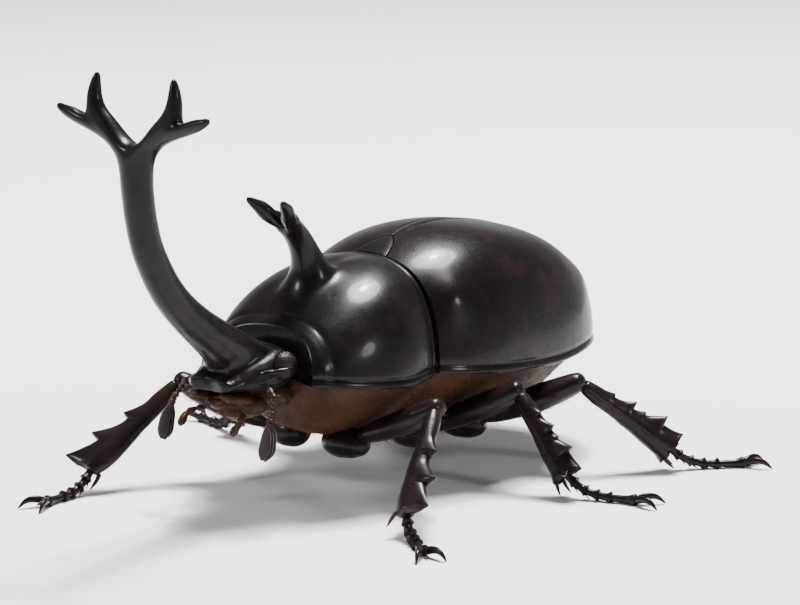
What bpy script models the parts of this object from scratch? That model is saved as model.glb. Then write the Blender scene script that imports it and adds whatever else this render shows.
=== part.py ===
"""A large male Japanese rhinoceros beetle (Trypoxylus dichotomus), standing, at life size.

The beetle faces -Y, its left side is +X and +Z is up. The origin is at the middle of its
bounding box, on the floor. Every length in the code is in millimetres until a mesh is
written. The trunk is modelled level, with its belly at z = 0, and an empty carries it at
its height and pitch. The legs are modelled where they stand.
"""

import math

import bmesh
import bpy
from mathutils import Matrix, Vector

MM = 0.001

# Driving dimensions of the trunk
BELLY_HEIGHT = 5.0
NOSE_UP = math.radians(3.0)
CENTRE = Vector((-0.08, -0.47, 0.0))
GAP = 0.3

WING_CASE_LENGTH = 30.9
WING_CASE_HALF_WIDTH = 14.0
WING_CASE_RISE = 14.9
WING_CASE_WALL = 0.8
WING_CASE_BASE = 0.6
MARGIN_HEIGHT = 7.5
SHOULDER_FULLNESS = 0.22
HIND_EDGE_SWEEP = 1.1

SHIELD_LENGTH = 14.8
SHIELD_HALF_WIDTH = 11.7
SHIELD_RISE = 11.9
SHIELD_FRONT_SWEEP = 2.0

SCUTELLUM_LENGTH = 3.5
SCUTELLUM_HALF_WIDTH = 2.2

THORAX_END = 13.6
ABDOMEN_END = 29.9
STERNITES = 5
STERNITE_STEP = 0.22

HEAD_START = -15.0
HEAD_LENGTH = 8.3
EYE_CENTRE = Vector((4.45, -17.4, 9.5))
EYE_RADII = Vector((1.1, 1.5, 1.4))

HORN_FORK_SPREAD = 9.0
HORN_SHAFT_HALF = 1.7
HORN_FORK_HEIGHT = 32.0

# Driving dimensions of the legs: half sizes of the coxae, knees and feet
COXA_RADII = Vector((2.9, 1.9, 1.7))
KNEE_RADIUS = 1.2
TARSUS_HALF = 0.62
TARSUS_HEIGHT = 0.5

# Where each leg stands: its coxa on the trunk, then its knee, the end of its shin, the way
# its foot points and how long that foot is, on the floor
STANCE = {
    "front_left": dict(
        coxa=(4.2, -7.2, 0.1), knee=(15.0, -5.6, 10.6), shin_end=(19.6, -16.2, 2.4),
        toe=(0.82, -0.57), foot=9.6,
    ),
    "mid_left": dict(
        coxa=(4.5, 3.4, -0.2), knee=(15.9, 6.6, 10.4), shin_end=(22.8, 6.2, 2.4),
        toe=(0.95, 0.30), foot=10.6,
    ),
    "hind_left": dict(
        coxa=(5.0, 11.4, -0.1), knee=(16.9, 16.2, 9.8), shin_end=(24.6, 22.6, 2.4),
        toe=(0.66, 0.75), foot=11.4,
    ),
    "front_right": dict(
        coxa=(-4.2, -7.2, 0.1), knee=(-13.8, -13.2, 10.6), shin_end=(-16.6, -24.2, 2.4),
        toe=(0.06, -1.0), foot=9.6,
    ),
    "mid_right": dict(
        coxa=(-4.5, 3.4, -0.2), knee=(-15.9, 5.2, 10.4), shin_end=(-22.6, 4.0, 2.4),
        toe=(-0.96, 0.28), foot=10.6,
    ),
    "hind_right": dict(
        coxa=(-5.0, 11.4, -0.1), knee=(-16.7, 16.8, 9.8), shin_end=(-22.6, 25.0, 2.4),
        toe=(-0.62, 0.78), foot=11.4,
    ),
}

# Shins, from knee to foot: (place, inner half, outer half, half thickness). The outer edge
# carries the teeth.
FRONT_SHIN = (
    (0.00, 0.75, 0.75, 0.70), (0.12, 0.95, 0.95, 0.80), (0.30, 1.05, 1.20, 0.90),
    (0.41, 1.10, 2.20, 0.80), (0.47, 1.10, 1.40, 0.90), (0.60, 1.20, 1.60, 0.95),
    (0.71, 1.25, 2.90, 0.85), (0.77, 1.25, 1.85, 0.95), (0.87, 1.30, 2.00, 0.95),
    (0.97, 1.30, 3.40, 0.80), (1.00, 0.95, 1.60, 0.75),
)
REAR_SHIN = (
    (0.00, 0.75, 0.75, 0.70), (0.15, 0.95, 0.95, 0.85), (0.35, 1.10, 1.20, 1.00),
    (0.44, 1.15, 2.00, 1.00), (0.50, 1.15, 1.35, 1.05), (0.65, 1.30, 1.55, 1.15),
    (0.74, 1.35, 2.50, 1.15), (0.80, 1.40, 1.70, 1.20), (0.91, 1.60, 2.00, 1.35),
    (0.98, 2.10, 2.70, 1.50), (1.00, 1.20, 1.40, 1.10),
)
THIGH = ((0.0, 0.95, 0.85), (0.1, 1.35, 1.1), (0.3, 1.9, 1.3), (0.55, 2.05, 1.4),
         (0.8, 1.6, 1.2), (0.93, 1.15, 1.0), (1.0, 0.55, 0.5))
HIND_THIGH = tuple((place, wide * 1.2, deep * 1.08) for place, wide, deep in THIGH)

COLOURS = {
    "shell": ((0.016, 0.012, 0.011), 0.28),
    "horn": ((0.018, 0.014, 0.013), 0.32),
    "leg": ((0.018, 0.012, 0.010), 0.34),
    "belly": ((0.060, 0.026, 0.015), 0.50),
    "eye": ((0.010, 0.008, 0.008), 0.12),
    "feeler": ((0.030, 0.013, 0.010), 0.42),
    "mouth": ((0.085, 0.036, 0.016), 0.60),
}


def clear_scene():
    """Take everything out of the open scene."""
    for item in list(bpy.data.objects):
        bpy.data.objects.remove(item, do_unlink=True)


def make_material(name):
    """A plain Principled material in the colour and roughness of one finish."""
    colour, roughness = COLOURS[name]
    material = bpy.data.materials.new(name)
    material.use_nodes = True
    shader = material.node_tree.nodes["Principled BSDF"]
    shader.inputs["Base Color"].default_value = (*colour, 1.0)
    shader.inputs["Roughness"].default_value = roughness
    shader.inputs["Metallic"].default_value = 0.0
    return material


def spline(keys, place):
    """Value at a place on the smooth natural curve through (place, value) keys."""
    places = [key[0] for key in keys]
    values = [Vector(key[1:]) if len(key) > 2 else key[1] for key in keys]
    last = len(keys) - 1
    steps = [places[i + 1] - places[i] for i in range(last)]
    slopes = [(values[i + 1] - values[i]) * (1.0 / steps[i]) for i in range(last)]
    # The bends at the keys solve one tridiagonal system, swept forward and back
    ratio, bend = [0.0], [values[0] * 0.0]
    for i in range(1, last):
        width = 2.0 * (steps[i - 1] + steps[i]) - steps[i - 1] * ratio[-1]
        ratio.append(steps[i] / width)
        bend.append(((slopes[i] - slopes[i - 1]) * 6.0 - bend[-1] * steps[i - 1]) * (1.0 / width))
    bends = [values[0] * 0.0]
    for i in range(last - 1, 0, -1):
        bends.append(bend[i] - bends[-1] * ratio[i])
    bends.append(values[0] * 0.0)
    bends.reverse()
    i = max(0, min(last - 1, sum(1 for p in places[1:-1] if p <= place)))
    before, after = places[i + 1] - place, place - places[i]
    step = steps[i]
    curved = (bends[i] * before**3 + bends[i + 1] * after**3) * (1.0 / (6.0 * step))
    near = (values[i] * (1.0 / step) - bends[i] * (step / 6.0)) * before
    far = (values[i + 1] * (1.0 / step) - bends[i + 1] * (step / 6.0)) * after
    return curved + near + far


def spread(count, start=0.0, end=1.0):
    """Evenly spaced values from start to end."""
    return [start + (end - start) * i / (count - 1) for i in range(count)]


def finish(name, bm, material, parent, sharp=40.0):
    """Turn a bmesh in millimetres into a named, smooth-shaded object in metres."""
    bmesh.ops.remove_doubles(bm, verts=bm.verts, dist=1e-4)
    bmesh.ops.recalc_face_normals(bm, faces=bm.faces)
    bmesh.ops.scale(bm, vec=(MM, MM, MM), verts=bm.verts)
    mesh = bpy.data.meshes.new(name)
    bm.to_mesh(mesh)
    bm.free()
    mesh.shade_smooth()
    mesh.set_sharp_from_angle(angle=math.radians(sharp))
    mesh.materials.append(material)
    item = bpy.data.objects.new(name, mesh)
    item.parent = parent
    bpy.context.scene.collection.objects.link(item)
    return item


def sheet_solid(upper, lower, rows, columns):
    """Closed body between two sheets, each a function of (row, column)."""
    bm = bmesh.new()
    top = [[bm.verts.new(upper(row, column)) for column in columns] for row in rows]
    base = [[bm.verts.new(lower(row, column)) for column in columns] for row in rows]
    for i in range(len(rows) - 1):
        for j in range(len(columns) - 1):
            bm.faces.new((top[i][j], top[i][j + 1], top[i + 1][j + 1], top[i + 1][j]))
            bm.faces.new((base[i][j], base[i + 1][j], base[i + 1][j + 1], base[i][j + 1]))
    for j in (0, -1):
        for i in range(len(rows) - 1):
            bm.faces.new((top[i][j], top[i + 1][j], base[i + 1][j], base[i][j]))
    for i in (0, -1):
        for j in range(len(columns) - 1):
            bm.faces.new((top[i][j], top[i][j + 1], base[i][j + 1], base[i][j]))
    return bm


def ring_points(centre, side, across, half_side, half_across, sides=8):
    """Points of an ellipse; half_side may be a pair, for the two directions of side."""
    plus, minus = half_side if isinstance(half_side, tuple) else (half_side, half_side)
    points = []
    for i in range(sides):
        angle = 2.0 * math.pi * i / sides
        reach = plus if math.cos(angle) > 0.0 else minus
        points.append(centre + side * (reach * math.cos(angle))
                      + across * (half_across * math.sin(angle)))
    return points


def ring_solid(rings):
    """Closed body through rings of points, with a flat face at each end."""
    bm = bmesh.new()
    loops = [[bm.verts.new(point) for point in ring] for ring in rings]
    for lower, upper in zip(loops, loops[1:]):
        sleeve(bm, lower, upper)
    bm.faces.new(loops[0])
    bm.faces.new(loops[-1])
    return bm


def sleeve(bm, lower, upper, skip=()):
    """Join two rings of the same count with quads, leaving out the skipped ones."""
    count = len(lower)
    for i in range(count):
        if i not in skip:
            j = (i + 1) % count
            bm.faces.new((lower[i], lower[j], upper[j], upper[i]))


def path_rings(points, sizes, reference, sides=8):
    """Rings along the smooth path through points, one for each (place, side, across) half size."""
    points = [Vector(point) for point in points]
    lengths = [0.0]
    for a, b in zip(points, points[1:]):
        lengths.append(lengths[-1] + (b - a).length)
    keys = [(length / lengths[-1], *point) for length, point in zip(lengths, points)]
    rings = []
    for place, half_side, half_across in sizes:
        ahead, behind = min(place + 0.01, 1.0), max(place - 0.01, 0.0)
        along = (spline(keys, ahead) - spline(keys, behind)).normalized()
        side = Vector(reference).cross(along).normalized()
        across = along.cross(side)
        rings.append(ring_points(spline(keys, place), side, across, half_side, half_across, sides))
    return rings


def ellipsoid(centre, radii, rings=6, sides=10, grow=0.0):
    """Closed ellipsoid with its poles on Z, grown all round by grow."""
    bm = bmesh.new()
    bmesh.ops.create_uvsphere(bm, u_segments=sides, v_segments=rings, radius=1.0)
    size = Matrix.Diagonal([radius + grow for radius in radii])
    for vert in bm.verts:
        vert.co = Vector(centre) + size @ vert.co
    return bm


def keep_below(bm, point, normal):
    """Cut a closed body with a plane, keep the side away from normal, and close it."""
    geometry = bm.verts[:] + bm.edges[:] + bm.faces[:]
    cut = bmesh.ops.bisect_plane(
        bm, geom=geometry, dist=1e-5, plane_co=point, plane_no=normal, clear_outer=True)
    edges = [item for item in cut["geom_cut"] if isinstance(item, bmesh.types.BMEdge)]
    bmesh.ops.edgeloop_fill(bm, edges=[edge for edge in edges if edge.is_boundary])
    return bm


def cut_away(item, name, bm, parent):
    """Cut a guide body out of an object with a Boolean."""
    cutter = finish(name, bm, item.data.materials[0], parent)
    cutter.hide_render = True
    cutter.display_type = "WIRE"
    boolean = item.modifiers.new(name, "BOOLEAN")
    boolean.operation = "DIFFERENCE"
    boolean.solver = "EXACT"
    boolean.object = cutter


# The trunk: a dome of two wing cases over the hind body, with the shield in front of it


def arch(angle, half_width, rise):
    """Cross-section of the back: angle 0 at the crest, 90 degrees at the margin."""
    lift = math.cos(angle) * (1.0 + SHOULDER_FULLNESS * math.sin(angle) ** 2)
    return half_width * math.sin(angle), rise * lift


def dome(place, angle, inset=0.0):
    """Point on the back behind the shield, at a place from 0 at its base to 1 at its tip."""
    front = max(0.0, 1.0 - place / 0.5)
    half_width = (WING_CASE_HALF_WIDTH - inset) * (1.0 - 0.21 * front**4)
    half_width *= max(0.0, 1.0 - place**5.5) ** 0.476
    rise = (WING_CASE_RISE - inset) * (1.0 - 0.24 * front**2.6)
    rise *= max(0.0, 1.0 - place**3.8) ** 0.526
    x, z = arch(angle, half_width, rise)
    base = WING_CASE_BASE - HIND_EDGE_SWEEP * math.sin(angle) ** 2
    tip = WING_CASE_BASE + WING_CASE_LENGTH - 1.1 * inset
    return Vector((x, base + (tip - base) * place, margin_height(place) + z))


def margin_height(place):
    """Height of the wing cases' lower edge."""
    waves = ((0.0, 0.2), (0.3, -0.2), (0.6, 0.0), (0.85, 0.9), (1.0, 1.1))
    return MARGIN_HEIGHT + spline(waves, place)


def scutellum_half(place):
    """Half-width of the scutellum, from its base at 0 to its tip at 1."""
    return SCUTELLUM_HALF_WIDTH * max(0.0, 1.0 - place**1.5) ** 0.8


def suture_angle(place, inset):
    """Angle of a wing case's inner edge, which leaves room for the scutellum."""
    at_scutellum = place * WING_CASE_LENGTH / (SCUTELLUM_LENGTH + GAP)
    room = GAP / 2.0 + scutellum_half(at_scutellum) * 1.12
    half_width = dome(place, math.pi / 2.0, inset).x
    return math.asin(min(0.9, room / half_width)) if half_width > 0.4 else 0.3


def make_wing_case(name, way, material, parent):
    """One wing case, a domed shell from the suture to the side margin."""
    rows = (0.0, 0.035, 0.07, 0.1, 0.123, 0.2, 0.3, 0.41, 0.52, 0.63, 0.73, 0.82, 0.9, 0.955, 0.985,
            0.997, 1.0)
    columns = spread(9)

    def sheet(inset):
        def point(place, across):
            start = suture_angle(place, 0.0)
            spot = dome(place, start + (math.pi / 2.0 - start) * across, inset)
            return Vector((max(spot.x, GAP / 2.0) * way, spot.y, spot.z))
        return point

    shell = sheet_solid(sheet(0.0), sheet(WING_CASE_WALL), rows, columns)
    return finish(name, shell, material, parent)


def make_scutellum(material, parent):
    """The small three-cornered plate between the bases of the wing cases."""
    def sheet(inset):
        def point(place, across):
            along = place * SCUTELLUM_LENGTH / WING_CASE_LENGTH
            half_width = dome(along, math.pi / 2.0).x
            angle = math.asin(scutellum_half(place) / half_width) * across
            return dome(along, angle, inset)
        return point

    rows, columns = spread(6), spread(7, -1.0, 1.0)
    return finish("scutellum", sheet_solid(sheet(0.0), sheet(WING_CASE_WALL), rows, columns),
                  material, parent)


def belly_slope(across):
    """Rise of the underside from the flat keel, 0, to the margin, 1."""
    def ramp(value):
        return math.hypot(value - 0.34, 0.14) + value - 0.34
    return (ramp(abs(across)) - ramp(0.0)) / (ramp(1.0) - ramp(0.0))


def hind_belly(place):
    """Height of the keel under the hind body, stepped where one sternite laps the next."""
    keel = spline(
        ((0.0, 0.9), (0.1, 0.2), (0.35, 0.2), (0.6, 0.4), (0.8, 1.1), (0.92, 2.6), (1.0, 5.5)), place)
    start = (THORAX_END - WING_CASE_BASE) / WING_CASE_LENGTH
    end = (ABDOMEN_END - WING_CASE_BASE) / WING_CASE_LENGTH
    if place > start:
        plate = (place - start) / (end - start) * STERNITES
        keel -= STERNITE_STEP * (plate - math.floor(plate))
    return keel


def hind_body():
    """The thorax behind the shield and the abdomen, whole, from shoulders to rear."""
    inset = WING_CASE_WALL + GAP
    half_step = 0.006
    start = (THORAX_END - WING_CASE_BASE) / WING_CASE_LENGTH
    end = (ABDOMEN_END - WING_CASE_BASE) / WING_CASE_LENGTH
    plates = [start + (end - start) * i / STERNITES for i in range(1, STERNITES)]
    rows = [0.0, 0.05, 0.13, 0.24, 0.35, start + half_step, 0.96, 0.985, 0.997]
    rows += [plate + shift for plate in plates for shift in (-half_step, half_step)]
    columns = spread(11, -math.pi / 2.0, math.pi / 2.0)

    def lower(place, angle):
        edge = dome(place, math.pi / 2.0, inset)
        spot = dome(place, angle, inset)
        keel = min(hind_belly(place), edge.z)
        return Vector((spot.x, spot.y, keel + (edge.z - keel) * belly_slope(math.sin(angle))))

    return sheet_solid(lambda place, angle: dome(place, angle, inset), lower, sorted(rows), columns)


def make_hind_body(materials, parent):
    """Thorax, abdomen and pygidium, parted from one body by thin cuts."""
    thorax = keep_below(hind_body(), (0, THORAX_END - GAP / 2.0, 0), (0, 1, 0))
    thorax = finish("hind_thorax", thorax, materials["belly"], parent)
    rear_point, rear_way = Vector((0.0, 24.8, 1.0)), Vector((0.0, 0.85, -0.52))
    abdomen = keep_below(hind_body(), (0, THORAX_END + GAP / 2.0, 0), (0, -1, 0))
    abdomen = keep_below(abdomen, rear_point - rear_way * (GAP / 2.0), rear_way)
    finish("abdomen", abdomen, materials["belly"], parent)
    pygidium = keep_below(hind_body(), rear_point + rear_way * (GAP / 2.0), -rear_way)
    finish("pygidium", pygidium, materials["shell"], parent)
    return thorax


def shield(place, angle, grow=0.0):
    """Point on the pronotum, at a place from 0 at the head to 1 at the wing cases."""
    half_width = SHIELD_HALF_WIDTH * spline(
        ((0.0, 0.64), (0.25, 0.865), (0.6, 0.995), (0.85, 0.965), (1.0, 0.91)), place)
    rise = SHIELD_RISE * spline(
        ((0.0, 0.42), (0.25, 0.74), (0.55, 0.945), (0.8, 1.0), (1.0, 0.965)), place)
    x, z = arch(angle, half_width + grow, rise + grow)
    sweep = math.sin(angle) ** 2
    front = WING_CASE_BASE - GAP - SHIELD_LENGTH - SHIELD_FRONT_SWEEP * sweep
    back = WING_CASE_BASE - GAP - HIND_EDGE_SWEEP * sweep
    return Vector((x, front + (back - front) * place, shield_margin(place) + z))


def shield_margin(place):
    """Height of the pronotum's lower edge."""
    return MARGIN_HEIGHT + spline(((0.0, 0.1), (0.35, -0.3), (0.7, -0.4), (1.0, 0.1)), place)


def make_pronotum(material, parent):
    """The domed shield over the first segment of the thorax."""
    return finish("pronotum", shield_body(), material, parent)


def shield_body(grow=0.0):
    """The closed form of the pronotum, from its back down to its lower edge."""
    def roof(place, angle):
        return shield(place, angle, grow)

    def floor(place, angle):
        spot = shield(place, angle, grow)
        return Vector((spot.x, spot.y, shield_margin(place)))

    return sheet_solid(roof, floor, spread(10), spread(17, -math.pi / 2.0, math.pi / 2.0))


def make_prosternum(material, parent):
    """The underside of the first segment, below the shield's edge."""
    def roof(place, angle):
        spot = shield(place, angle, -0.5)
        return Vector((spot.x, spot.y, shield_margin(place) - GAP))

    def lower(place, angle):
        edge = roof(place, angle)
        keel = spline(((0.0, 3.6), (0.25, 1.4), (0.6, 0.5), (1.0, 1.2)), place)
        return Vector((edge.x, edge.y, keel + (edge.z - keel) * belly_slope(math.sin(angle))))

    columns = spread(13, -math.pi / 2.0, math.pi / 2.0)
    return finish("prosternum", sheet_solid(roof, lower, spread(7), columns), material, parent)


# The head and the two horns


def head_point(place, angle, below, grow=0.0):
    """Point on the head, from the neck at 0 to the front of the clypeus at 1."""
    half_width = spline(
        ((0.0, 2.4), (0.09, 4.1), (0.25, 4.75), (0.42, 4.8), (0.53, 5.0), (0.66, 4.3), (0.85, 3.5),
         (1.0, 3.1)), place)
    middle = spline(((0.0, 8.8), (0.25, 8.6), (0.5, 8.3), (0.75, 7.9), (1.0, 7.6)), place)
    throat = ((0.0, 1.4), (0.09, 2.2), (0.25, 2.5), (0.5, 2.2), (0.75, 1.4), (1.0, 0.6))
    brow = ((0.0, 1.7), (0.09, 2.6), (0.25, 3.0), (0.5, 2.7), (0.75, 1.7), (1.0, 0.7))
    x, z = arch(angle, half_width + grow, spline(throat if below else brow, place) + grow)
    lobes = 0.8 * math.exp(-((abs(x) - 2.0) / 0.9) ** 2) * max(0.0, place - 0.7) / 0.3
    reach = HEAD_LENGTH + 2.0 * grow
    return Vector((x, HEAD_START + grow - reach * place - lobes, middle - z if below else middle + z))


def head_body(grow=0.0):
    """The closed form of the head without its horn."""
    return sheet_solid(
        lambda place, angle: head_point(place, angle, False, grow),
        lambda place, angle: head_point(place, angle, True, grow),
        spread(11), spread(13, -math.pi / 2.0, math.pi / 2.0))


def cage_ring(bm, centre, along, half_side, half_across, sides, lead=Vector((1, 0, 0))):
    """Ring of a cage whose smooth limit has the given half sizes."""
    shrink = 0.902 if sides == 8 else 0.833
    along = Vector(along).normalized()
    across = along.cross(lead).normalized()
    side = across.cross(along)
    sizes = half_side / shrink, half_across / shrink
    return [bm.verts.new(point) for point in ring_points(Vector(centre), side, across, *sizes, sides)]


def close_eight(bm, ring):
    """Close a ring of eight with four quads round a middle point."""
    middle = bm.verts.new(sum((vert.co for vert in ring), Vector()) / 8.0)
    for i in (0, 2, 4, 6):
        bm.faces.new((ring[i], ring[(i + 1) % 8], ring[(i + 2) % 8], middle))
    return middle


def close_six(bm, ring):
    """Close a ring of six with two quads."""
    bm.faces.new((ring[0], ring[1], ring[2], ring[3]))
    bm.faces.new((ring[3], ring[4], ring[5], ring[0]))


def split_ring(bm, ring):
    """Part the end of a ring of eight into two rings of six, to the right and to the left."""
    middle = bm.verts.new(sum((vert.co for vert in ring), Vector()) / 8.0)
    right = [ring[0], ring[1], ring[2], middle, ring[6], ring[7]]
    left = [ring[4], ring[5], ring[6], middle, ring[2], ring[3]]
    return right, left


def smooth_cage(item, levels):
    """Round a cage off with a Subdivision Surface."""
    rounding = item.modifiers.new("rounding", "SUBSURF")
    rounding.levels = levels
    rounding.render_levels = levels


def horn_shaft(bm, keys):
    """Rings of eight along a horn: keys are (y, z, half side, half depth), root first."""
    rings = []
    for i, (y, z, half_side, half_depth) in enumerate(keys):
        before, after = keys[max(i - 1, 0)], keys[min(i + 1, len(keys) - 1)]
        along = (0.0, after[0] - before[0], after[1] - before[1])
        rings.append(cage_ring(bm, (0.0, y, z), along, half_side, half_depth, 8))
        if i:
            sleeve(bm, rings[-2], rings[-1])
    close_eight(bm, rings[0][::-1])
    return rings[-1]


def cephalic_horn_cage():
    """The head's long horn: a curved shaft that forks twice, into four points."""
    bm = bmesh.new()
    half, base, reach = HORN_SHAFT_HALF, HORN_FORK_HEIGHT, HORN_FORK_SPREAD
    fork = horn_shaft(bm, (
        (-18.6, 8.8, 2.9, 2.7), (-21.2, 11.0, 2.8, 2.3), (-25.4, 13.7, 2.0, 1.9),
        (-29.8, 17.4, half, 1.7), (-32.9, 22.3, half - 0.1, half - 0.1), (-34.2, 27.6, half, 1.5),
        (-34.5, base, 2.4, 1.35)))
    for way, ring in zip((1.0, -1.0), split_ring(bm, fork)):
        # Each branch leans out from the fork, then turns up; its outer tine grows from its side
        lead = Vector((way, 0.0, 0.0))
        stages = (
            ((0.36 * reach, -34.8, base + 1.7), (0.90, -0.10, 0.45), 1.15, 1.1),
            ((0.55 * reach, -34.9, base + 2.9), (0.50, -0.05, 0.90), 1.0, 0.95),
            ((0.60 * reach, -34.9, base + 4.5), (0.05, 0.00, 1.00), 0.8, 0.8),
            ((0.58 * reach, -34.8, base + 6.7), (-0.10, 0.05, 1.00), 0.42, 0.42),
        )
        rings = [ring]
        for (x, y, z), (lean, forward, up), half_side, half_across in stages:
            along = Vector((lean * way, forward, up))
            rings.append(cage_ring(bm, (x * way, y, z), along, half_side, half_across, 6, lead))
        for k, (lower, upper) in enumerate(zip(rings, rings[1:])):
            sleeve(bm, lower, upper, skip=(0, 5) if k == 1 else ())
        close_six(bm, rings[-1])
        lower, upper = rings[1], rings[2]
        tine = [lower[0], lower[1], upper[1], upper[0], upper[5], lower[5]]
        for x, z, tine_half in ((0.82 * reach, base + 2.8, 0.75), (1.12 * reach, base + 3.3, 0.4)):
            outer = cage_ring(bm, (x * way, -35.0 - 0.02 * x, z), (way, -0.1, 0.12), tine_half,
                              tine_half, 6, Vector((0, 0, -1)))
            sleeve(bm, tine, outer)
            tine = outer
        close_six(bm, tine)
    return bm


def thoracic_horn_cage():
    """The shield's short horn, bent forward and forked at its tip."""
    bm = bmesh.new()
    top = horn_shaft(bm, (
        (-7.6, 14.2, 2.5, 2.5), (-8.8, 17.6, 1.9, 1.9), (-10.3, 20.6, 1.45, 1.35),
        (-12.4, 22.9, 1.7, 1.0)))
    for way, ring in zip((1.0, -1.0), split_ring(bm, top)):
        lead = Vector((way, 0.0, 0.0))
        for x, y, z, half in ((1.35, -14.2, 24.2, 0.75), (2.35, -16.1, 25.4, 0.36)):
            along = Vector((0.6 * way, -1.0, 0.60))
            outer = cage_ring(bm, (x * way, y, z), along, half, half, 6, lead)
            sleeve(bm, ring, outer)
            ring = outer
        close_six(bm, ring)
    return bm


def make_head(materials, parent):
    """Head, eyes, both horns, mouthparts, antennae and palps."""
    head = finish("head", head_body(), materials["shell"], parent)
    horn = finish("cephalic_horn", cephalic_horn_cage(), materials["horn"], parent)
    smooth_cage(horn, 1)
    cut_away(horn, "head_room", head_body(GAP), parent)
    for side, way in (("left", 1.0), ("right", -1.0)):
        centre = Vector((EYE_CENTRE.x * way, EYE_CENTRE.y, EYE_CENTRE.z))
        finish("eye_" + side, ellipsoid(centre, EYE_RADII), materials["eye"], parent)
        cut_away(head, "eye_room_" + side, ellipsoid(centre, EYE_RADII, grow=GAP * 0.8), parent)
        make_antenna(side, way, materials["feeler"], parent)
        make_palp(side, way, materials["mouth"], parent)
    mouth = ellipsoid((0.0, -19.4, 4.55), (2.7, 2.5, 1.15), sides=10)
    finish("mouthparts", mouth, materials["mouth"], parent)


def make_antenna(side, way, material, parent):
    """An elbowed antenna that ends in a leafed club, hanging beside the mouth."""
    points = [(4.75 * way, -20.1, 7.3), (6.3 * way, -20.9, 6.4), (6.8 * way, -21.7, 5.0),
              (6.9 * way, -22.2, 3.6), (7.0 * way, -22.8, 0.9)]
    sizes = ((0.0, 0.4, 0.4), (0.2, 0.42, 0.42), (0.28, 0.3, 0.3), (0.4, 0.32, 0.32),
             (0.54, 0.28, 0.28), (0.62, 0.34, 0.3), (0.72, 0.72, 0.52), (0.85, 0.82, 0.6),
             (0.95, 0.6, 0.42), (1.0, 0.28, 0.2))
    rings = path_rings(points, sizes, (0, 1, 0), 6)
    finish("antenna_" + side, ring_solid(rings), material, parent, sharp=60.0)


def make_palp(side, way, material, parent):
    """A short jointed palp beside the mouth."""
    points = [(2.6 * way, -21.3, 4.6), (3.5 * way, -22.4, 4.5), (3.7 * way, -23.4, 3.9),
              (3.6 * way, -24.1, 3.0)]
    sizes = ((0.0, 0.3, 0.3), (0.3, 0.38, 0.38), (0.5, 0.3, 0.3), (0.8, 0.42, 0.42),
             (1.0, 0.25, 0.25))
    finish("palp_" + side, ring_solid(path_rings(points, sizes, (0, 0, 1), 6)), material, parent)


# The legs


def on_trunk(point):
    """Place of a point of the level trunk once the trunk is lifted and pitched."""
    return Matrix.Rotation(-NOSE_UP, 3, "X") @ Vector(point) + Vector((0.0, 0.0, BELLY_HEIGHT))


def make_leg(place, stance, materials, parent, sockets):
    """Coxa, femur, tibia and tarsus of one leg, from the trunk to the floor."""
    coxa = on_trunk(stance["coxa"])
    knee, shin_end = Vector(stance["knee"]), Vector(stance["shin_end"])
    rear = not place.startswith("front")

    finish("coxa_" + place, ellipsoid(coxa, COXA_RADII, sides=8), materials["leg"], parent)
    cut_away(sockets, "coxa_room_" + place, ellipsoid(coxa, COXA_RADII, sides=8, grow=GAP), parent)

    out = (knee - coxa).normalized()
    reach = Vector([radius * part for radius, part in zip(COXA_RADII, out)]).length
    root = coxa + out * (reach + GAP)
    bow = (root + knee) / 2.0 + Vector((0.0, 0.0, -0.25))
    sizes = HIND_THIGH if place.startswith("hind") else THIGH
    rings = path_rings((root, bow, knee + out * KNEE_RADIUS * 0.7), sizes, (0, 0, 1))
    finish("femur_" + place, ring_solid(rings), materials["leg"], parent)

    down = (shin_end - knee).normalized()
    start = knee + down * (KNEE_RADIUS + GAP)
    outward = Vector((0.0, 0.0, 1.0)) if rear else Vector((coxa.x, 0.0, 2.0))
    outer = (outward - down * outward.dot(down)).normalized()
    across = down.cross(outer).normalized()
    rings = []
    for along, inner_half, outer_half, thick in REAR_SHIN if rear else FRONT_SHIN:
        halves = outer_half, inner_half
        rings.append(ring_points(start.lerp(shin_end, along), outer, across, halves, thick))
    finish("tibia_" + place, ring_solid(rings), materials["leg"], parent, sharp=30.0)

    make_foot(place, stance, shin_end, down, materials["leg"], parent)


def make_foot(place, stance, shin_end, down, material, parent):
    """A tarsus of five segments with two claws, cut off flat where it rests on the floor."""
    toe = Vector((stance["toe"][0], stance["toe"][1], 0.0)).normalized()
    length = stance["foot"]
    start = shin_end + down * GAP + (down + toe).normalized() * 0.4
    ground = Vector((start.x, start.y, 0.0))
    run = length - 2.6
    points = [start, ground + toe * run * 0.3 + Vector((0, 0, 0.95)),
              ground + toe * run * 0.6 + Vector((0, 0, TARSUS_HEIGHT)),
              ground + toe * run + Vector((0, 0, TARSUS_HEIGHT))]
    half = TARSUS_HALF
    sizes = [(0.0, 0.45, 0.45)]
    joints = (0.2, 0.36, 0.52, 0.68, 1.0)
    for joint in joints:
        sizes.append((joint - 0.035, half, half))
        if joint < 1.0:
            sizes.append((joint, 0.44, 0.44))
    sizes[-1] = (1.0, half * 0.95, half * 0.9)
    rings = path_rings(points, sizes, (0, 0, 1))
    bm = bmesh.new()
    loops = [[bm.verts.new(point) for point in ring] for ring in rings]
    for lower, upper in zip(loops, loops[1:]):
        sleeve(bm, lower, upper)
    bm.faces.new(loops[0])
    for way, ring in zip((1.0, -1.0), split_ring(bm, loops[-1])):
        grow_claw(bm, ring, points[-1], toe, way)
    bmesh.ops.remove_doubles(bm, verts=bm.verts, dist=1e-4)
    keep_below(bm, (0, 0, 0), (0, 0, -1))
    finish("tarsus_" + place, bm, material, parent)


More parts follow.
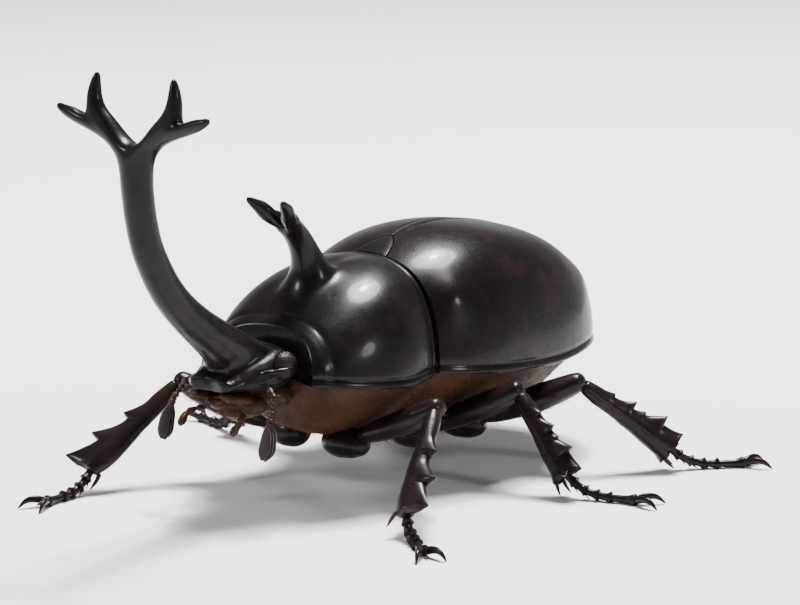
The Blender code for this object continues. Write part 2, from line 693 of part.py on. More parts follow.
def grow_claw(bm, ring, root, toe, way):
    """One hooked claw, grown from half of the end of a tarsus."""
    side = Vector((0, 0, 1)).cross(toe) * way
    for ahead, apart, height, half in ((0.7, 0.6, 0.62, 0.42), (1.6, 1.15, 0.72, 0.36),
                                       (2.5, 1.5, 0.22, 0.27)):
        centre = root + toe * ahead + side * apart
        centre.z = height
        along = (toe + side * 0.5 + Vector((0, 0, 0.15 if ahead < 1.0 else -0.5))).normalized()
        points = ring_points(centre, side, along.cross(side).normalized(), half, half, 6)
        outer = [bm.verts.new(point) for point in points]
        sleeve(bm, ring, outer)
        ring = outer
    close_six(bm, ring)


def build():
    """Model the whole beetle."""
    clear_scene()
    materials = {name: make_material(name) for name in COLOURS}

    beetle = bpy.data.objects.new("beetle", None)
    beetle.location = CENTRE * MM
    trunk = bpy.data.objects.new("trunk", None)
    trunk.parent = beetle
    trunk.location = (0.0, 0.0, BELLY_HEIGHT * MM)
    trunk.rotation_euler = (-NOSE_UP, 0.0, 0.0)
    for empty in (beetle, trunk):
        bpy.context.scene.collection.objects.link(empty)

    make_head(materials, trunk)
    make_pronotum(materials["shell"], trunk)
    horn = finish("thoracic_horn", thoracic_horn_cage(), materials["horn"], trunk)
    smooth_cage(horn, 1)
    cut_away(horn, "shield_room", shield_body(GAP), trunk)
    prosternum = make_prosternum(materials["belly"], trunk)
    make_scutellum(materials["shell"], trunk)
    make_wing_case("elytron_left", 1.0, materials["shell"], trunk)
    make_wing_case("elytron_right", -1.0, materials["shell"], trunk)
    thorax = make_hind_body(materials, trunk)

    for place, stance in STANCE.items():
        sockets = prosternum if place.startswith("front") else thorax
        make_leg(place, stance, materials, beetle, sockets)


build()
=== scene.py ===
import bisect
import math

import bmesh
import bpy
import numpy as np
from mathutils import Matrix, Vector, noise


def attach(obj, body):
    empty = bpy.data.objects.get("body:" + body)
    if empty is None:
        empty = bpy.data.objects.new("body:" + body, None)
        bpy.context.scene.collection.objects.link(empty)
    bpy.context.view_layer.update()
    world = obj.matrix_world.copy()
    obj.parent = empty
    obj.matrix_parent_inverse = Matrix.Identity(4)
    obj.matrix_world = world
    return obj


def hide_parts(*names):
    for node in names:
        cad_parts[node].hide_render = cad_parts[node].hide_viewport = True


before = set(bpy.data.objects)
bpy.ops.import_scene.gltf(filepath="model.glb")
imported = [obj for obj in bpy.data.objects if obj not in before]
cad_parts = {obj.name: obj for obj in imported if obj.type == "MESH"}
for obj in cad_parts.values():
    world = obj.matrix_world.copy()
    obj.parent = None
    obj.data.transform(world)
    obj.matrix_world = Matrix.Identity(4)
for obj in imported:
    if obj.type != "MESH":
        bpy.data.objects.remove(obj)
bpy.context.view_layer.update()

# A large male rhinoceros beetle. It faces -Y and its left side is +X. Lengths are in
# millimetres until a piece is finished. Trunk pieces are shaped level, with the belly at
# z = 0, and legs are shaped where they stand.

mm = 0.001
up = Vector((0.0, 0.0, 1.0))
mirror = {"left": 1.0, "right": -1.0}
marginAngle = math.pi / 2.0  # from the crest of the back to its side edge
trunk = {"bellyHeight": 5.0, "noseUp": math.radians(3.0), "centre": (-0.08, -0.47, 0.0)}
onFloor = Matrix.Translation(trunk["centre"])
pitched = Matrix.Translation((0, 0, trunk["bellyHeight"])) @ Matrix.Rotation(-trunk["noseUp"], 4, "X")
onTrunk = onFloor @ pitched
pieces = {}  # finished pieces by name


class Signal:
    # A node's output that takes part in arithmetic
    def __init__(self, graph, socket):
        self.graph, self.socket = graph, socket

    def also(self, label):
        # Another output of the same node
        return Signal(self.graph, self.socket.node.outputs[label])

    def math(self, operation, one, other):
        return self.graph.node("ShaderNodeMath", {"operation": operation}, {0: one, 1: other})

    def __add__(self, other):
        return self.math("ADD", self, other)

    __radd__ = __add__

    def __sub__(self, other):
        return self.math("SUBTRACT", self, other)

    def __rsub__(self, other):
        return self.math("SUBTRACT", other, self)

    def __mul__(self, other):
        return self.math("MULTIPLY", self, other)

    __rmul__ = __mul__

    def rise(self, low, high, start=0.0, end=1.0):
        # start below low, end above high, eased between them
        return self.graph.node("ShaderNodeMapRange", {"interpolation_type": "SMOOTHSTEP"},
                               {0: self, 1: low, 2: high, 3: start, 4: end})


class Graph:
    # A node tree that grows one node at a time
    def __init__(self, tree):
        self.tree = tree

    def feed(self, signal, socket):
        self.tree.links.new(signal.socket, socket)

    def node(self, kind, settings, inputs, output=0):
        made = self.tree.nodes.new(kind)
        for key, value in settings.items():
            setattr(made, key, value)
        for key, value in inputs.items():
            if isinstance(value, Signal):
                self.feed(value, made.inputs[key])
            else:
                made.inputs[key].default_value = value
        return Signal(self, made.outputs[output])

    def vector(self, operation, one, other):
        return self.node("ShaderNodeVectorMath", {"operation": operation}, {0: one, 1: other})

    def scaled(self, vector, factor):
        return self.node("ShaderNodeVectorMath", {"operation": "SCALE"}, {0: vector, "Scale": factor})


class Finish(Graph):
    # The nodes of one material, with its Principled shader ready
    def __init__(self, name, values):
        self.material = bpy.data.materials.new(name)
        self.material.use_nodes = True
        super().__init__(self.material.node_tree)
        self.shader = self.tree.nodes["Principled BSDF"]
        for socket, value in values.items():
            self.shader.inputs[socket].default_value = value

    def drive(self, socket, signal):
        self.feed(signal, self.shader.inputs[socket])

    def millimetres(self):
        return self.scaled(self.node("ShaderNodeTexCoord", {}, {}, "Object"), 1.0 / mm)

    def noise(self, spot, scale, detail=2.0, roughness=0.5):
        return self.node("ShaderNodeTexNoise", {}, {
            "Vector": spot, "Scale": scale, "Detail": detail, "Roughness": roughness})

    def cells(self, spot, scale):
        return self.node("ShaderNodeTexVoronoi", {"feature": "F1"}, {"Vector": spot, "Scale": scale},
                         "Distance")

    def blend(self, factor, one, other):
        return self.node("ShaderNodeMix", {"data_type": "RGBA"}, {0: factor, 6: one, 7: other}, 2)

    def emboss(self, height):
        # height is in millimetres
        self.drive("Normal", self.node("ShaderNodeBump", {}, {
            "Strength": 1.0, "Distance": mm, "Height": height}))


class Recipe(Graph):
    # A Geometry Nodes tree with named inputs
    def __init__(self, name, inputs):
        super().__init__(bpy.data.node_groups.new(name, "GeometryNodeTree"))
        self.tree.is_modifier = True
        self.tree.interface.new_socket("Geometry", in_out="OUTPUT", socket_type="NodeSocketGeometry")
        for label, kind in {"Geometry": "Geometry", **inputs}.items():
            self.tree.interface.new_socket(label, in_out="INPUT", socket_type="NodeSocket" + kind)
        self.source = self.tree.nodes.new("NodeGroupInput")
        self.sink = self.tree.nodes.new("NodeGroupOutput")

    def take(self, label):
        return Signal(self, self.source.outputs[label])

    def attribute(self, name, kind):
        return self.node("GeometryNodeInputNamedAttribute", {"data_type": kind}, {"Name": name})

    def end(self, geometry):
        real = self.node("GeometryNodeRealizeInstances", {}, {"Geometry": geometry})
        done = self.node("GeometryNodeSetMaterial", {}, {
            "Geometry": real, "Material": self.take("Material")})
        self.feed(done, self.sink.inputs["Geometry"])
        return self.tree


def clamp(value):
    return min(1.0, max(0.0, value))


def spread(count, start=0.0, end=1.0):
    return [start + (end - start) * i / (count - 1) for i in range(count)]


def tightEnds(count, start=0.0, end=1.0):
    # Places from start to end that crowd towards both
    return [start + (end - start) * (0.5 - 0.5 * math.cos(math.pi * i / (count - 1))) for i in range(count)]


def curveThrough(keys):
    # The smooth natural curve through (place, value or values) keys, as a function of place
    places = [key[0] for key in keys]
    values = np.array([key[1:] for key in keys], float)
    steps = np.diff(places)
    count = len(keys)
    balance, pull = np.eye(count), np.zeros_like(values)
    for i in range(1, count - 1):
        before, after = steps[i - 1], steps[i]
        balance[i, i - 1:i + 2] = before, 2.0 * (before + after), after
        pull[i] = 6.0 * ((values[i + 1] - values[i]) / after - (values[i] - values[i - 1]) / before)
    bends = np.linalg.solve(balance, pull)

    def curve(place):
        i = min(max(bisect.bisect_right(places, place) - 1, 0), count - 2)
        step, before, after = steps[i], places[i + 1] - place, place - places[i]
        result = (bends[i] * before**3 + bends[i + 1] * after**3) / (6.0 * step)
        result += (values[i] / step - bends[i] * step / 6.0) * before
        result += (values[i + 1] / step - bends[i + 1] * step / 6.0) * after
        return float(result[0]) if len(result) == 1 else Vector(result)

    return curve


def pathThrough(points):
    # The smooth path through points, as a function of the share of its length
    lengths = [0.0]
    for a, b in zip(points, points[1:]):
        lengths.append(lengths[-1] + (b - a).length)
    return curveThrough([(length / lengths[-1], *point) for length, point in zip(lengths, points)])


def mirrored(point, way):
    # A point given for the left side; way is 1 for the left and -1 for the right
    return Vector((point[0] * way, point[1], point[2]))


def sized(keys, side, across):
    # The (place, half side, half across) keys of a tube, enlarged
    return [(place, halfSide * side, halfAcross * across) for place, halfSide, halfAcross in keys]


def hill(distance, width):
    return math.exp(-(distance / width) ** 2)


def edging(distance, bead, furrow):
    # A bead along an edge and a furrow beside it, each by its height, place and width
    lift = bead[0] * hill(distance - bead[1], bead[2])
    return lift - furrow[0] * hill(distance - furrow[1], furrow[2])


def ripple(spot, height, scale):
    return height * noise.noise(spot * scale)


def sheetBody(bm, upper, lower, rows, columns, hole=None):
    # A closed body between two sheets of (row, column). hole names the middle (row, column)
    # of a patch of four quads left out of the upper sheet, and its edge of eight comes back.
    top = [[bm.verts.new(upper(row, column)) for column in columns] for row in rows]
    base = [[bm.verts.new(lower(row, column)) for column in columns] for row in rows]
    openRows, openColumns = ((hole[0] - 1, hole[0]), (hole[1] - 1, hole[1])) if hole else ((), ())
    for i in range(len(rows) - 1):
        for j in range(len(columns) - 1):
            if i not in openRows or j not in openColumns:
                bm.faces.new((top[i][j], top[i][j + 1], top[i + 1][j + 1], top[i + 1][j]))
            bm.faces.new((base[i][j], base[i + 1][j], base[i + 1][j + 1], base[i][j + 1]))
    for j in (0, -1):
        for i in range(len(rows) - 1):
            bm.faces.new((top[i][j], top[i + 1][j], base[i + 1][j], base[i][j]))
    for i in (0, -1):
        for j in range(len(columns) - 1):
            bm.faces.new((top[i][j], top[i][j + 1], base[i][j + 1], base[i][j]))
    if not hole:
        return None
    i, j = hole
    bm.verts.remove(top[i][j])
    around = ((0, 1), (-1, 1), (-1, 0), (-1, -1), (0, -1), (1, -1), (1, 0), (1, 1))
    return [top[i + di][j + dj] for di, dj in around]


def ringPoints(centre, side, across, halfSide, halfAcross, sides):
    # Points of an ellipse
    points = []
    for i in range(sides):
        angle = 2.0 * math.pi * i / sides
        points.append(centre + side * (halfSide * math.cos(angle)) + across * (halfAcross * math.sin(angle)))
    return points


def sleeve(bm, lower, upper, skip=()):
    count = len(lower)
    for i in range(count):
        if i not in skip:
            j = (i + 1) % count
            bm.faces.new((lower[i], lower[j], upper[j], upper[i]))


def middleOf(bm, ring):
    return bm.verts.new(sum((vert.co for vert in ring), Vector()) / len(ring))


def closeRing(bm, ring):
    # A fan of quads round a middle point, for a ring of an even count
    middle = middleOf(bm, ring)
    for i in range(0, len(ring), 2):
        bm.faces.new((ring[i], ring[(i + 1) % len(ring)], ring[(i + 2) % len(ring)], middle))


def skinRings(bm, rings):
    # A closed body over a row of rings
    for lower, upper in zip(rings, rings[1:]):
        sleeve(bm, lower, upper)
    closeRing(bm, rings[0])
    closeRing(bm, rings[-1])


leastHalf = 0.03  # a tube never closes to a point
tangentStep = 0.01
fewStations = 8  # a tube of more has them crowd towards its ends


def tube(bm, points, sizes, reference, sides, stations):
    # A closed tube along the smooth path through points. sizes are (place, half side, half
    # across) keys, smoothed too, and side lies square to reference.
    path = pathThrough([Vector(point) for point in points])
    size = curveThrough([(*key, 0.0) for key in sizes])
    rings = []
    for place in tightEnds(stations) if stations > fewStations else spread(stations):
        ahead, behind = path(min(place + tangentStep, 1.0)), path(max(place - tangentStep, 0.0))
        along = (ahead - behind).normalized()
        side = Vector(reference).cross(along).normalized()
        halfSide, halfAcross = (max(half, leastHalf) for half in size(place)[:2])
        ring = ringPoints(path(place), side, along.cross(side), halfSide, halfAcross, sides)
        rings.append([bm.verts.new(point) for point in ring])
    skinRings(bm, rings)


def ellipsoid(bm, centre, radii, sides, turn=None):
    made = bmesh.ops.create_uvsphere(bm, u_segments=sides, v_segments=sides // 2, radius=1.0)
    size = (turn or Matrix.Identity(3)) @ Matrix.Diagonal(radii)
    for vert in made["verts"]:
        vert.co = Vector(centre) + size @ vert.co


def keepBelow(bm, point, normal):
    # Cut a closed body with a plane, keep the side away from normal, and close it
    cut = bmesh.ops.bisect_plane(bm, geom=bm.verts[:] + bm.edges[:] + bm.faces[:], dist=1e-5,
                                 plane_co=point, plane_no=normal, clear_outer=True)
    edges = [item for item in cut["geom_cut"] if isinstance(item, bmesh.types.BMEdge)]
    bmesh.ops.edgeloop_fill(bm, edges=[edge for edge in edges if edge.is_boundary])


def meshOf(name, bm):
    mesh = bpy.data.meshes.new(name)
    bm.to_mesh(mesh)
    bm.free()
    return mesh


def newObject(name, data):
    made = bpy.data.objects.new(name, data)
    bpy.context.scene.collection.objects.link(made)
    return made


def applyModifiers(item):
    graph = bpy.context.evaluated_depsgraph_get()
    graph.update()
    mesh = bpy.data.meshes.new_from_object(item.evaluated_get(graph))
    item.modifiers.clear()
    item.data = mesh


def dress(piece, material, nodes, sharp=50.0):
    # The last steps of every piece: its finish, its body and the solids it stands for. Edges that turn by
    # more than sharp degrees stay crisp.
    mesh = piece.data
    mesh.materials.clear()
    mesh.materials.append(material)
    mesh.shade_smooth()
    if sharp:
        mesh.set_sharp_from_angle(angle=math.radians(sharp))
    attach(piece, "root")
    if nodes:
        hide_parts(*nodes)


def makePiece(name, bm, material, place, nodes=None, rounds=0, voxel=0.0, soften=0, relief=None,
              flatFeet=False):
    # Turn a bmesh in millimetres into a finished piece in metres, which stands for the solid
    # of its own name unless nodes names others. rounds is for subdivision, voxel and soften
    # fuse overlapping bodies, and relief(spot, normal) raises the surface.
    bmesh.ops.remove_doubles(bm, verts=bm.verts, dist=1e-4)
    bmesh.ops.recalc_face_normals(bm, faces=bm.faces)
    piece = newObject(name, meshOf(name, bm))
    if rounds:
        smooth = piece.modifiers.new("rounding", "SUBSURF")
        smooth.levels = smooth.render_levels = rounds
    if voxel:
        fuse = piece.modifiers.new("fuse", "REMESH")
        fuse.mode, fuse.voxel_size = "VOXEL", voxel
    if soften:
        calm = piece.modifiers.new("calm", "SMOOTH")
        calm.iterations, calm.factor = soften, 0.5
    if piece.modifiers:
        applyModifiers(piece)
    mesh = piece.data
    points = np.empty(len(mesh.vertices) * 3)
    mesh.vertices.foreach_get("co", points)
    points = points.reshape(-1, 3)
    if relief:
        for i, vert in enumerate(mesh.vertices):
            points[i] += np.array(vert.normal) * relief(vert.co, vert.normal)
    if flatFeet:
        points[:, 2] = np.maximum(points[:, 2], 0.0)
    placed = points @ np.array(place.to_3x3()).T + np.array(place.translation)
    mesh.vertices.foreach_set("co", (placed * mm).ravel())
    mesh.update()
    dress(piece, material, (name,) if nodes is None else nodes)
    pieces[name] = piece


def tone(red, green, blue):
    return (red, green, blue, 1.0)


cuticle = {
    # Scale to the millimetre, detail and roughness of each noise
    "patches": (0.22, 3.0), "fine": (7.0, 4.0, 0.6), "smudges": (0.9, 4.0, 0.6),
    # How far the colour darkens in each pit, and the dark tone's share it darkens to: painted shade in the
    # pits
    "pit": (0.08, 0.36), "pitShadeTint": 0.2, "pitShadeTone": 0.6,
    "smudgeRough": 0.15, "pitRough": 0.15, "fineRough": 0.12,
    "coat": 0.12, "wear": 0.05, "worn": (0.35, 0.8),
    "shader": {"Coat Roughness": 0.10, "IOR": 1.5, "Specular IOR Level": 0.09, "Sheen Roughness": 0.4},
}
finishes = {
    "wingCaseCuticle": {
        "dark": (0.0058, 0.0043, 0.0043), "warm": (0.0150, 0.0080, 0.0064),
        "roughness": 0.27, "pitScale": 4.2, "pitDepth": 0.003, "grain": 0.003},
    "shieldCuticle": {
        "dark": (0.0052, 0.0042, 0.0043), "warm": (0.0105, 0.0070, 0.0064),
        "roughness": 0.30, "pitScale": 3.6, "pitDepth": 0.004, "grain": 0.005},
    "legCuticle": {
        "dark": (0.0068, 0.0048, 0.0045), "warm": (0.018, 0.0090, 0.0068),
        "roughness": 0.32, "pitScale": 2.4, "pitDepth": 0.010, "grain": 0.008},
    "bellyCuticle": {
        "dark": (0.022, 0.0105, 0.0070), "warm": (0.055, 0.024, 0.014), "warmth": (0.3, 0.7),
        "roughness": 0.60, "pitScale": 3.0, "pitDepth": 0.012, "grain": 0.012, "gloss": 0.15},
    "clawHorn": {
        "dark": (0.0075, 0.0050, 0.0045), "warm": (0.022, 0.0105, 0.0070),
        "roughness": 0.22, "pitScale": 5.0, "pitDepth": 0.003, "grain": 0.003},
    "feelerCuticle": {
        "dark": (0.016, 0.008, 0.007), "warm": (0.045, 0.018, 0.010),
        "roughness": 0.36, "pitScale": 4.0, "pitDepth": 0.010, "grain": 0.010},
    "clubFelt": {
        "dark": (0.014, 0.010, 0.009), "warm": (0.030, 0.020, 0.015),
        "roughness": 0.62, "pitScale": 8.0, "pitDepth": 0.008, "grain": 0.016, "sheen": 0.25},
    "mouthCuticle": {
        "dark": (0.030, 0.013, 0.008), "warm": (0.080, 0.032, 0.015),
        "roughness": 0.38, "pitScale": 3.0, "pitDepth": 0.015, "grain": 0.015},
    "bristleHorn": {
        "dark": (0.030, 0.012, 0.007), "warm": (0.090, 0.034, 0.014),
        "roughness": 0.35, "pitScale": 6.0, "pitDepth": 0.004, "grain": 0.004},
}


def cuticleFinish(name, dark, warm, roughness, pitScale, pitDepth, grain, warmth=(0.45, 0.75), sheen=0.0,
                  gloss=1.0):
    # Hard shell: blackish with warmer patches, tiny pits darkened in colour as painted shade, and a fine
    # satin grain
    graph = Finish(name, {**cuticle["shader"], "Sheen Weight": sheen})
    spot = graph.millimetres()
    patches = graph.noise(spot, *cuticle["patches"])
    fine = graph.noise(spot, *cuticle["fine"]) - 0.5
    smudges = graph.noise(spot, *cuticle["smudges"])
    pits = 1.0 - graph.cells(spot, pitScale).rise(*cuticle["pit"])
    colour = graph.blend(patches.rise(*warmth), tone(*dark), tone(*warm))
    # The colour darkens in the pits, where the bump sinks the surface: painted shade in the recesses
    pitShadeColour = tone(*(part * cuticle["pitShadeTone"] for part in dark))
    graph.drive("Base Color", graph.blend(pits * cuticle["pitShadeTint"], colour, pitShadeColour))
    graph.drive("Roughness", roughness + (smudges - 0.5) * cuticle["smudgeRough"]
                + pits * cuticle["pitRough"] + fine * cuticle["fineRough"])
    graph.drive("Coat Weight", (cuticle["coat"] - smudges.rise(*cuticle["worn"]) * cuticle["wear"]) * gloss)
    graph.emboss(pits * (-pitDepth) + fine * grain)
    return graph.material


def eyeFinish():
    graph = Finish("eyeFacets", {"IOR": 1.5, "Specular IOR Level": 0.14, "Coat Roughness": 0.05,
                                 "Coat Weight": 0.10})
    spot = graph.millimetres()
    depth = graph.noise(spot, 1.1).rise(0.35, 0.7)
    graph.drive("Base Color", graph.blend(depth, tone(0.006, 0.005, 0.006), tone(0.020, 0.010, 0.008)))
    graph.drive("Roughness", 0.24 + graph.noise(spot, 12.0) * 0.10)
    return graph.material


def hairFinish():
    graph = Finish("goldenHair", {"IOR": 1.5, "Specular IOR Level": 0.3})
    mottle = graph.noise(graph.millimetres(), 3.0, 3.0).rise(0.3, 0.7)
    graph.drive("Base Color", graph.blend(mottle, tone(0.045, 0.018, 0.009), tone(0.13, 0.055, 0.022)))
    graph.drive("Roughness", 0.48 + mottle * 0.15)
    return graph.material


finish = {name: cuticleFinish(name, **settings) for name, settings in finishes.items()}
finish["eye"], finish["hair"] = eyeFinish(), hairFinish()
print("materials made")


def growOn(skin, recipe, values):
    # Work a recipe into the skin's mesh; each input is set by its socket's identifier
    grow = skin.modifiers.new(recipe.name, "NODES")
    grow.node_group = recipe
    for socket in recipe.interface.items_tree:
        if socket.in_out == "INPUT" and socket.name in values:
            grow[socket.identifier] = values[socket.name]
    skin.update_tag()
    applyModifiers(skin)


hair = {
    "sides": 3, "tip": 0.12, "shortest": 0.55, "longest": 1.15, "lengthSeed": 7,
    "patch": 0.003,  # what one hair covers on its layout
}


def hairRecipeMade():
    # Bent, tapered hairs on a skin that carries the attributes coat (how dense), lie (which
    # way they lie), rootNormal and rootPlace (where their root is on the skin's unwrap)
    recipe = Recipe("hairCoat", {
        "Density": "Float", "Length": "Float", "Width": "Float", "Lean": "Float", "Bend": "Float",
        "Scatter": "Float", "Patch": "Float", "Seed": "Int", "Material": "Material"})
    node, take = recipe.node, recipe.take
    points = node("GeometryNodeDistributePointsOnFaces", {}, {
        "Mesh": take("Geometry"), "Density": take("Density") * recipe.attribute("coat", "FLOAT"),
        "Seed": take("Seed")})
    normal = points.also("Normal")
    jitter = node("FunctionNodeRandomValue", {"data_type": "FLOAT_VECTOR"}, {
        0: (-1.0, -1.0, -1.0), 1: (1.0, 1.0, 1.0), "Seed": take("Seed")})
    lying = recipe.scaled(recipe.attribute("lie", "FLOAT_VECTOR"), take("Lean"))
    way = recipe.vector("ADD", recipe.vector("ADD", lying, normal), recipe.scaled(jitter, take("Scatter")))
    turn = node("FunctionNodeAxesToRotation", {"primary_axis": "Z", "secondary_axis": "X"}, {
        "Primary Axis": way, "Secondary Axis": normal})
    length = take("Length") * node("FunctionNodeRandomValue", {"data_type": "FLOAT"}, {
        2: hair["shortest"], 3: hair["longest"], "Seed": hair["lengthSeed"]}, 1)
    size = node("ShaderNodeCombineXYZ", {}, {0: take("Width"), 1: take("Width"), 2: length})
    # One hair, a unit long, that remembers which part of it each point is
    shaft = node("GeometryNodeMeshCone", {"fill_type": "NGON"}, {
        "Vertices": hair["sides"], "Side Segments": 3, "Radius Top": hair["tip"], "Radius Bottom": 1.0,
        "Depth": 1.0})
    parts = node("ShaderNodeSeparateXYZ", {}, {0: node("GeometryNodeInputPosition", {}, {})})
    parts = node("ShaderNodeCombineXYZ", {}, {0: parts, 1: parts.also("Z")})
    strand = node("GeometryNodeStoreNamedAttribute", {"data_type": "FLOAT_VECTOR", "domain": "POINT"}, {
        "Geometry": shaft, "Name": "hairPlace", "Value": parts})
    placed = node("GeometryNodeInstanceOnPoints", {}, {
        "Points": points, "Instance": strand, "Rotation": turn, "Scale": size})
    real = node("GeometryNodeRealizeInstances", {}, {"Geometry": placed})
    # The tip drops back along the normal kept at its root
    hairPlace = recipe.attribute("hairPlace", "FLOAT_VECTOR")
    height = node("ShaderNodeSeparateXYZ", {}, {0: hairPlace}).also("Y")
    drop = height * height * take("Bend")
    away = recipe.scaled(recipe.attribute("rootNormal", "FLOAT_VECTOR"), drop * -1.0)
    bent = node("GeometryNodeSetPosition", {}, {"Geometry": real, "Offset": away})
    patch = recipe.vector("ADD", recipe.attribute("rootPlace", "FLOAT_VECTOR"),
                          recipe.scaled(hairPlace, take("Patch")))
    mapped = node("GeometryNodeStoreNamedAttribute", {"data_type": "FLOAT2", "domain": "CORNER"}, {
        "Geometry": bent, "Name": "OFBake", "Value": patch})
    return recipe.end(mapped)


hairRecipe = hairRecipeMade()


def growCoat(name, skin, settings, lie, density, unwrap):
    # Hair on a finished piece. density reads a place in millimetres and a normal, lie is the
    # way the hairs lean, and unwrap gives the place of a root on the skin's own layout.
    mesh = skin.data.copy()
    coat = newObject(name, mesh)
    vectors = ("lie", "rootPlace", "rootNormal")
    mesh.attributes.new("coat", "FLOAT", "POINT")
    for label in vectors:
        mesh.attributes.new(label, "FLOAT_VECTOR", "POINT")
    lie = Vector(lie)
    for i, vert in enumerate(mesh.vertices):
        spot, normal = vert.co / mm, vert.normal
        mesh.attributes["coat"].data[i].value = density(spot, normal)
        mesh.attributes["lie"].data[i].vector = lie - normal * lie.dot(normal)
        mesh.attributes["rootPlace"].data[i].vector = (*unwrap(spot), 0.0)
        mesh.attributes["rootNormal"].data[i].vector = normal
    thick, length, width, lean, bend, scatter, seed = settings
    growOn(coat, hairRecipe, {
        "Density": thick / mm**2, "Length": length * mm, "Width": width * mm, "Lean": lean,
        "Bend": bend * mm, "Scatter": scatter, "Patch": hair["patch"], "Seed": seed,
        "Material": finish["hair"]})
    for label in ("coat", "hairPlace", *vectors):
        if label in coat.data.attributes:
            coat.data.attributes.remove(coat.data.attributes[label])
    dress(coat, finish["hair"], (), sharp=None)
    print("coat", name, len(coat.data.polygons))


wingCase = {
    "length": 30.9, "start": 0.6, "halfWidth": 14.0, "rise": 14.9, "wall": 0.7, "fullness": 0.22,
    "base": 0.5, "sweep": 1.1, "margin": 7.5, "seam": 0.05, "rows": 92, "columns": 60,
    # The front is narrower and lower by a share, which fades with a power, and the tip closes
    "frontHalf": 0.5, "frontWidth": (0.21, 4.0), "frontRise": (0.24, 2.6),
    "tipWidth": (5.5, 0.476), "tipRise": (3.8, 0.526), "tipInset": 1.1,
    "seamReach": 0.9, "closedWidth": 0.4, "closedAngle": 0.3,
    # Height, place and width of the bead along an edge, then of the furrow beside it
    "seamEdging": ((0.055, 0.0, 0.3), (0.06, 0.62, 0.16)),
    "marginEdging": ((0.121, 0.1, 0.36), (0.096, 0.8, 0.24)), "fade": 3.0,
    # Place, angle, height and width of the knobs at the shoulder and at the rear
    "knobs": ((0.075, 56.0, 0.34, 1.9), (0.86, 52.0, 0.30, 2.3)),
    "ribs": (0.52, 0.88, 1.20), "ribHeight": 0.03, "ribWidth": 0.12, "ribStart": 1.2,
    "ripple": (0.018, 0.3),
}
scutellum = {
    "length": 3.5, "halfWidth": 2.2, "gap": 0.10, "room": 1.06, "taper": (1.5, 0.8), "crown": 0.12,
    "rows": 24,
}
marginWave = curveThrough(((0.0, 0.2), (0.3, -0.2), (0.6, 0.0), (0.85, 0.9), (1.0, 1.1)))


def arch(angle, halfWidth, rise):
    # Cross-section of the back: angle 0 at the crest, 90 degrees at the margin
    lift = math.cos(angle) * (1.0 + wingCase["fullness"] * math.sin(angle) ** 2)
    return halfWidth * math.sin(angle), rise * lift


def tapered(size, place, front, tip):
    # A width or rise of the wing cases from their base, 0, to their tip, 1
    ahead = max(0.0, 1.0 - place / wingCase["frontHalf"])
    return size * (1.0 - front[0] * ahead ** front[1]) * max(0.0, 1.0 - place ** tip[0]) ** tip[1]


def dome(place, angle, inset=0.0):
    halfWidth = tapered(wingCase["halfWidth"] - inset, place, wingCase["frontWidth"], wingCase["tipWidth"])
    rise = tapered(wingCase["rise"] - inset, place, wingCase["frontRise"], wingCase["tipRise"])
    x, z = arch(angle, halfWidth, rise)
    base = wingCase["base"] - wingCase["sweep"] * math.sin(angle) ** 2
    tip = wingCase["start"] + wingCase["length"] - wingCase["tipInset"] * inset
    return Vector((x, base + (tip - base) * place, wingCase["margin"] + marginWave(place) + z))


def scutellumHalf(place):
    along, across = scutellum["taper"]
    return scutellum["halfWidth"] * max(0.0, 1.0 - place**along) ** across


def sutureAngle(place):
    # Angle of a wing case's inner edge, which leaves room for the scutellum
    along = place * wingCase["length"] / (scutellum["length"] + scutellum["gap"])
    room = wingCase["seam"] + scutellumHalf(along) * scutellum["room"]
    halfWidth = dome(place, marginAngle).x
    if halfWidth <= wingCase["closedWidth"]:
        return wingCase["closedAngle"]
    return math.asin(min(wingCase["seamReach"], room / halfWidth))


knobs = [(dome(place, math.radians(angle)), height, width)
         for place, angle, height, width in wingCase["knobs"]]


def wingRelief(spot, normal):
    # Beads along the seam and the margin, a knob at the shoulder and at the rear, faint ribs
    place = clamp((spot.y - wingCase["base"]) / wingCase["length"])
    seam = abs(spot.x) - wingCase["seam"]
    above = spot.z - wingCase["margin"] - marginWave(place)
    behind = clamp((spot.y - wingCase["base"] - scutellum["length"]) / wingCase["fade"])
    lift = edging(seam, *wingCase["seamEdging"]) * clamp(above / wingCase["fade"]) * behind
    lift += edging(above, *wingCase["marginEdging"])
    for knob, height, width in knobs:
        lift += height * hill((Vector((abs(spot.x), spot.y, spot.z)) - knob).length, width)
    angle = math.atan2(abs(spot.x), max(above, 0.01))
    fade = math.sin(math.pi * place) * clamp(seam - wingCase["ribStart"])
    for rib in wingCase["ribs"]:
        lift += wingCase["ribHeight"] * hill(angle - rib, wingCase["ribWidth"]) * fade
    return lift + ripple(spot, *wingCase["ripple"])


def makeWingCase(name, way):
    def sheet(inset):
        def point(place, across):
            start = sutureAngle(place)
            spot = dome(place, start + (marginAngle - start) * across, inset)
            return Vector((max(spot.x, wingCase["seam"]) * way, spot.y, spot.z))
        return point

    bm = bmesh.new()
    rows, columns = tightEnds(wingCase["rows"]), tightEnds(wingCase["columns"])
    sheetBody(bm, sheet(0.0), sheet(wingCase["wall"]), rows, columns)
    makePiece(name, bm, finish["wingCaseCuticle"], onTrunk, rounds=1, relief=wingRelief)


def makeScutellum():
    def sheet(inset):
        def point(place, across):
            along = place * scutellum["length"] / wingCase["length"]
            angle = math.asin(scutellumHalf(place) / dome(along, marginAngle).x) * across
            crown = scutellum["crown"] * (1.0 - across**4) * (1.0 - place**3)
            return dome(along, angle, inset - crown)
        return point

    bm = bmesh.new()
    rows, columns = tightEnds(scutellum["rows"]), tightEnds(scutellum["rows"], -1.0, 1.0)
    sheetBody(bm, sheet(0.0), sheet(wingCase["wall"]), rows, columns)
    makePiece("scutellum", bm, finish["shieldCuticle"], onTrunk, rounds=1)


for side, way in mirror.items():
    makeWingCase("elytron_" + side, way)
makeScutellum()
print("wing cases and scutellum made")


